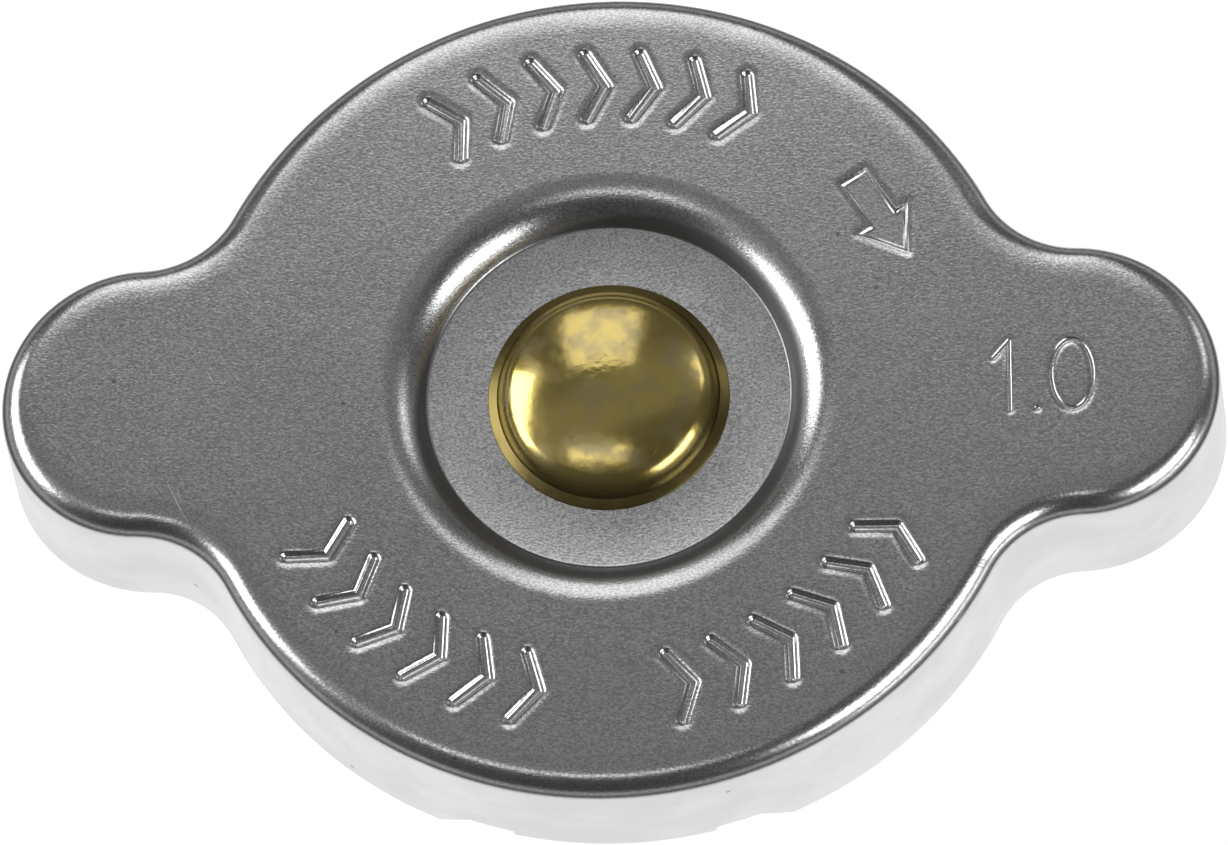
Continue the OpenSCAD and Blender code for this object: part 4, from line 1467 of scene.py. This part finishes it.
class RADCAP_OT_light_studio(bpy.types.Operator):
    """Sets the floor, the soft lights and the camera"""
    bl_idname = "radcap.light_studio"
    bl_label = "Light Studio"

    # Name, degrees to the right of the front, degrees from overhead, distance, width, height, brightness
    softboxes = (
        ("overhead strip", -26, 19, 0.62, 0.34, 0.085, 1.45),
        ("back box", 188, 48.5, 0.62, 0.35, 0.40, 1.15),
        ("left box", -99, 57, 0.60, 0.50, 0.24, 4.2),
        ("right front box", 58, 60, 0.60, 0.40, 0.20, 4.2),
        ("right box", 126, 59, 0.70, 0.20, 0.16, 1.3),
        ("right low card", 62, 80, 0.60, 0.42, 0.15, 0.25),
        ("right low strip", 64, 87, 0.60, 0.40, 0.06, 2.2),
    )

    def execute(self, context):
        scene = context.scene
        settings = scene.radiator_cap
        middle = Vector((0, 0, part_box("cap_shell")[1].z))
        self.lay_floor(context)
        for softbox in self.softboxes:
            self.hang_box(scene, middle, *softbox)
        self.dim_room(scene)
        self.set_camera(scene, settings.studio, middle)
        scene.view_settings.view_transform = "Standard"
        return {"FINISHED"}

    def lay_floor(self, context):
        ways = ((-1, -1), (1, -1), (1, 1), (-1, 1))
        corners = [(x * FLOOR_SIDE, y * FLOOR_SIDE, -FLOOR_GAP) for x, y in ways]
        mesh = bpy.data.meshes.new("studio_floor")
        mesh.from_pydata(corners, [], [(0, 1, 2, 3)])
        floor = bpy.data.objects.new("studio_floor", mesh)
        context.scene.collection.objects.link(floor)
        mesh.materials.append(finishes(context)["pale_floor"])

    def hang_box(self, scene, middle, name, turn, tilt, distance, width, height, glow):
        turn = math.radians(turn)
        tilt = math.radians(tilt)
        level = math.sin(tilt)
        toward = Vector((level * math.sin(turn), -level * math.cos(turn), math.cos(tilt)))
        light = bpy.data.lights.new(name, "AREA")
        light.shape = "RECTANGLE"
        light.size = width
        light.size_y = height
        light.energy = glow * math.pi * width * height
        box = bpy.data.objects.new(name, light)
        box.location = middle + toward * distance
        # A box in front or behind hangs square to the cap, one at a side faces it level
        across = Vector((1, 0, 0)) if abs(math.sin(turn)) < 0.5 else Vector((0, 0, 1)).cross(toward)
        up = toward.cross(across).normalized()
        box.rotation_euler = Matrix((up.cross(toward), up, toward)).transposed().to_euler()
        box.visible_camera = False
        scene.collection.objects.link(box)

    def dim_room(self, scene):
        """A dim room round the cap, bright below, and a pale wall that only the camera sees."""
        world = bpy.data.worlds.new("studio room")
        scene.world = world
        world.use_nodes = True
        tree = world.node_tree
        tree.nodes.clear()
        way = add_node(tree, "ShaderNodeTexCoord").outputs["Generated"]
        depth = add_node(tree, "ShaderNodeVectorMath", {0: way, 1: ROOM_WAY}, operation="DOT_PRODUCT")
        share = ranged(tree, depth.outputs["Value"], -1.0, 1.0)
        ramp = add_node(tree, "ShaderNodeValToRGB", {"Fac": share})
        ramp.color_ramp.interpolation = "EASE"
        points = ramp.color_ramp.elements
        while len(points) < len(ROOM_STOPS):
            points.new(0.5)
        for point, (position, glow) in zip(points, ROOM_STOPS):
            point.position = position
            point.color = (glow, glow, glow, 1)
        rise = add_node(tree, "ShaderNodeSeparateXYZ", {"Vector": way}).outputs["Z"]
        off_level = math_node(tree, "ABSOLUTE", rise)
        skyline = ranged(tree, off_level, 0.0, SKYLINE_RISE, SKYLINE_GLOW, 0.0)
        below = ranged(tree, rise, -2 * SKYLINE_RISE, -SKYLINE_RISE, TABLE_GLOW, 0.0)
        glow = math_node(tree, "ADD", math_node(tree, "ADD", ramp.outputs["Color"], skyline), below)
        room = add_node(tree, "ShaderNodeBackground", {"Color": (1, 1, 1, 1), "Strength": glow})
        wall_colour = (WALL_GLOW, WALL_GLOW, WALL_GLOW, 1)
        wall = add_node(tree, "ShaderNodeBackground", {"Color": wall_colour})
        seen = add_node(tree, "ShaderNodeLightPath").outputs["Is Camera Ray"]
        both = add_node(tree, "ShaderNodeMixShader", {
            0: seen, 1: room.outputs["Background"], 2: wall.outputs["Background"],
        })
        add_node(tree, "ShaderNodeOutputWorld", {"Surface": both.outputs["Shader"]})

    def set_camera(self, scene, s, middle):
        level = math.cos(s.elevation)
        back = Vector((math.sin(s.turn) * level, -math.cos(s.turn) * level, math.sin(s.elevation)))
        right = Vector((math.cos(s.turn), math.sin(s.turn), 0))
        up = back.cross(right)
        side = math.cos(s.roll) * right + math.sin(s.roll) * up
        above = math.cos(s.roll) * up - math.sin(s.roll) * right
        data = bpy.data.cameras.new("photo camera")
        data.sensor_width = SENSOR_WIDTH
        data.sensor_fit = "HORIZONTAL"
        data.lens = s.focal / PHOTO_WIDTH * SENSOR_WIDTH
        data.shift_x = -s.right / PHOTO_WIDTH
        data.shift_y = s.down / PHOTO_WIDTH
        data.clip_start = CLIP_START
        camera = bpy.data.objects.new("photo camera", data)
        turned = Matrix((side, above, back)).transposed().to_4x4()
        camera.matrix_world = Matrix.Translation(middle + back * s.distance) @ turned
        scene.collection.objects.link(camera)
        scene.camera = camera


class RADCAP_PT_panel(bpy.types.Panel):
    """Lists the cap's pieces and their sizes"""
    bl_idname = "RADCAP_PT_panel"
    bl_label = "Radiator Cap"
    bl_space_type = "VIEW_3D"
    bl_region_type = "UI"
    bl_category = "Radiator Cap"

    def draw(self, context):
        settings = context.scene.radiator_cap
        for operator in OPERATORS:
            self.layout.operator(operator.bl_idname)
        for group in RadiatorCapSettings.__annotations__:
            box = self.layout.box()
            box.label(text=group.capitalize())
            sizes = getattr(settings, group)
            for name in sizes.__annotations__:
                box.prop(sizes, name)


OPERATORS = (
    RADCAP_OT_light_studio,
    RADCAP_OT_press_shell,
    RADCAP_OT_turn_rivet,
    RADCAP_OT_turn_valve_pieces,
    RADCAP_OT_draw_bell,
    RADCAP_OT_mould_seals,
    RADCAP_OT_wind_springs,
)
CLASSES = (
    ShellSizes, MarkSizes, RivetSizes, SpringSizes, TurnedSizes, Finishes, StudioSizes,
    RadiatorCapSettings, *OPERATORS, RADCAP_PT_panel,
)


def register():
    for cls in CLASSES:
        bpy.utils.register_class(cls)
    bpy.types.Scene.radiator_cap = PointerProperty(type=RadiatorCapSettings)


def unregister():
    del bpy.types.Scene.radiator_cap
    for cls in reversed(CLASSES):
        bpy.utils.unregister_class(cls)


def main():
    register()
    bpy.ops.radcap.light_studio()
    bpy.ops.radcap.press_shell()
    bpy.ops.radcap.turn_rivet()
    bpy.ops.radcap.turn_valve_pieces()
    bpy.ops.radcap.draw_bell()
    bpy.ops.radcap.mould_seals()
    bpy.ops.radcap.wind_springs()


if __name__ == "__main__":
    main()
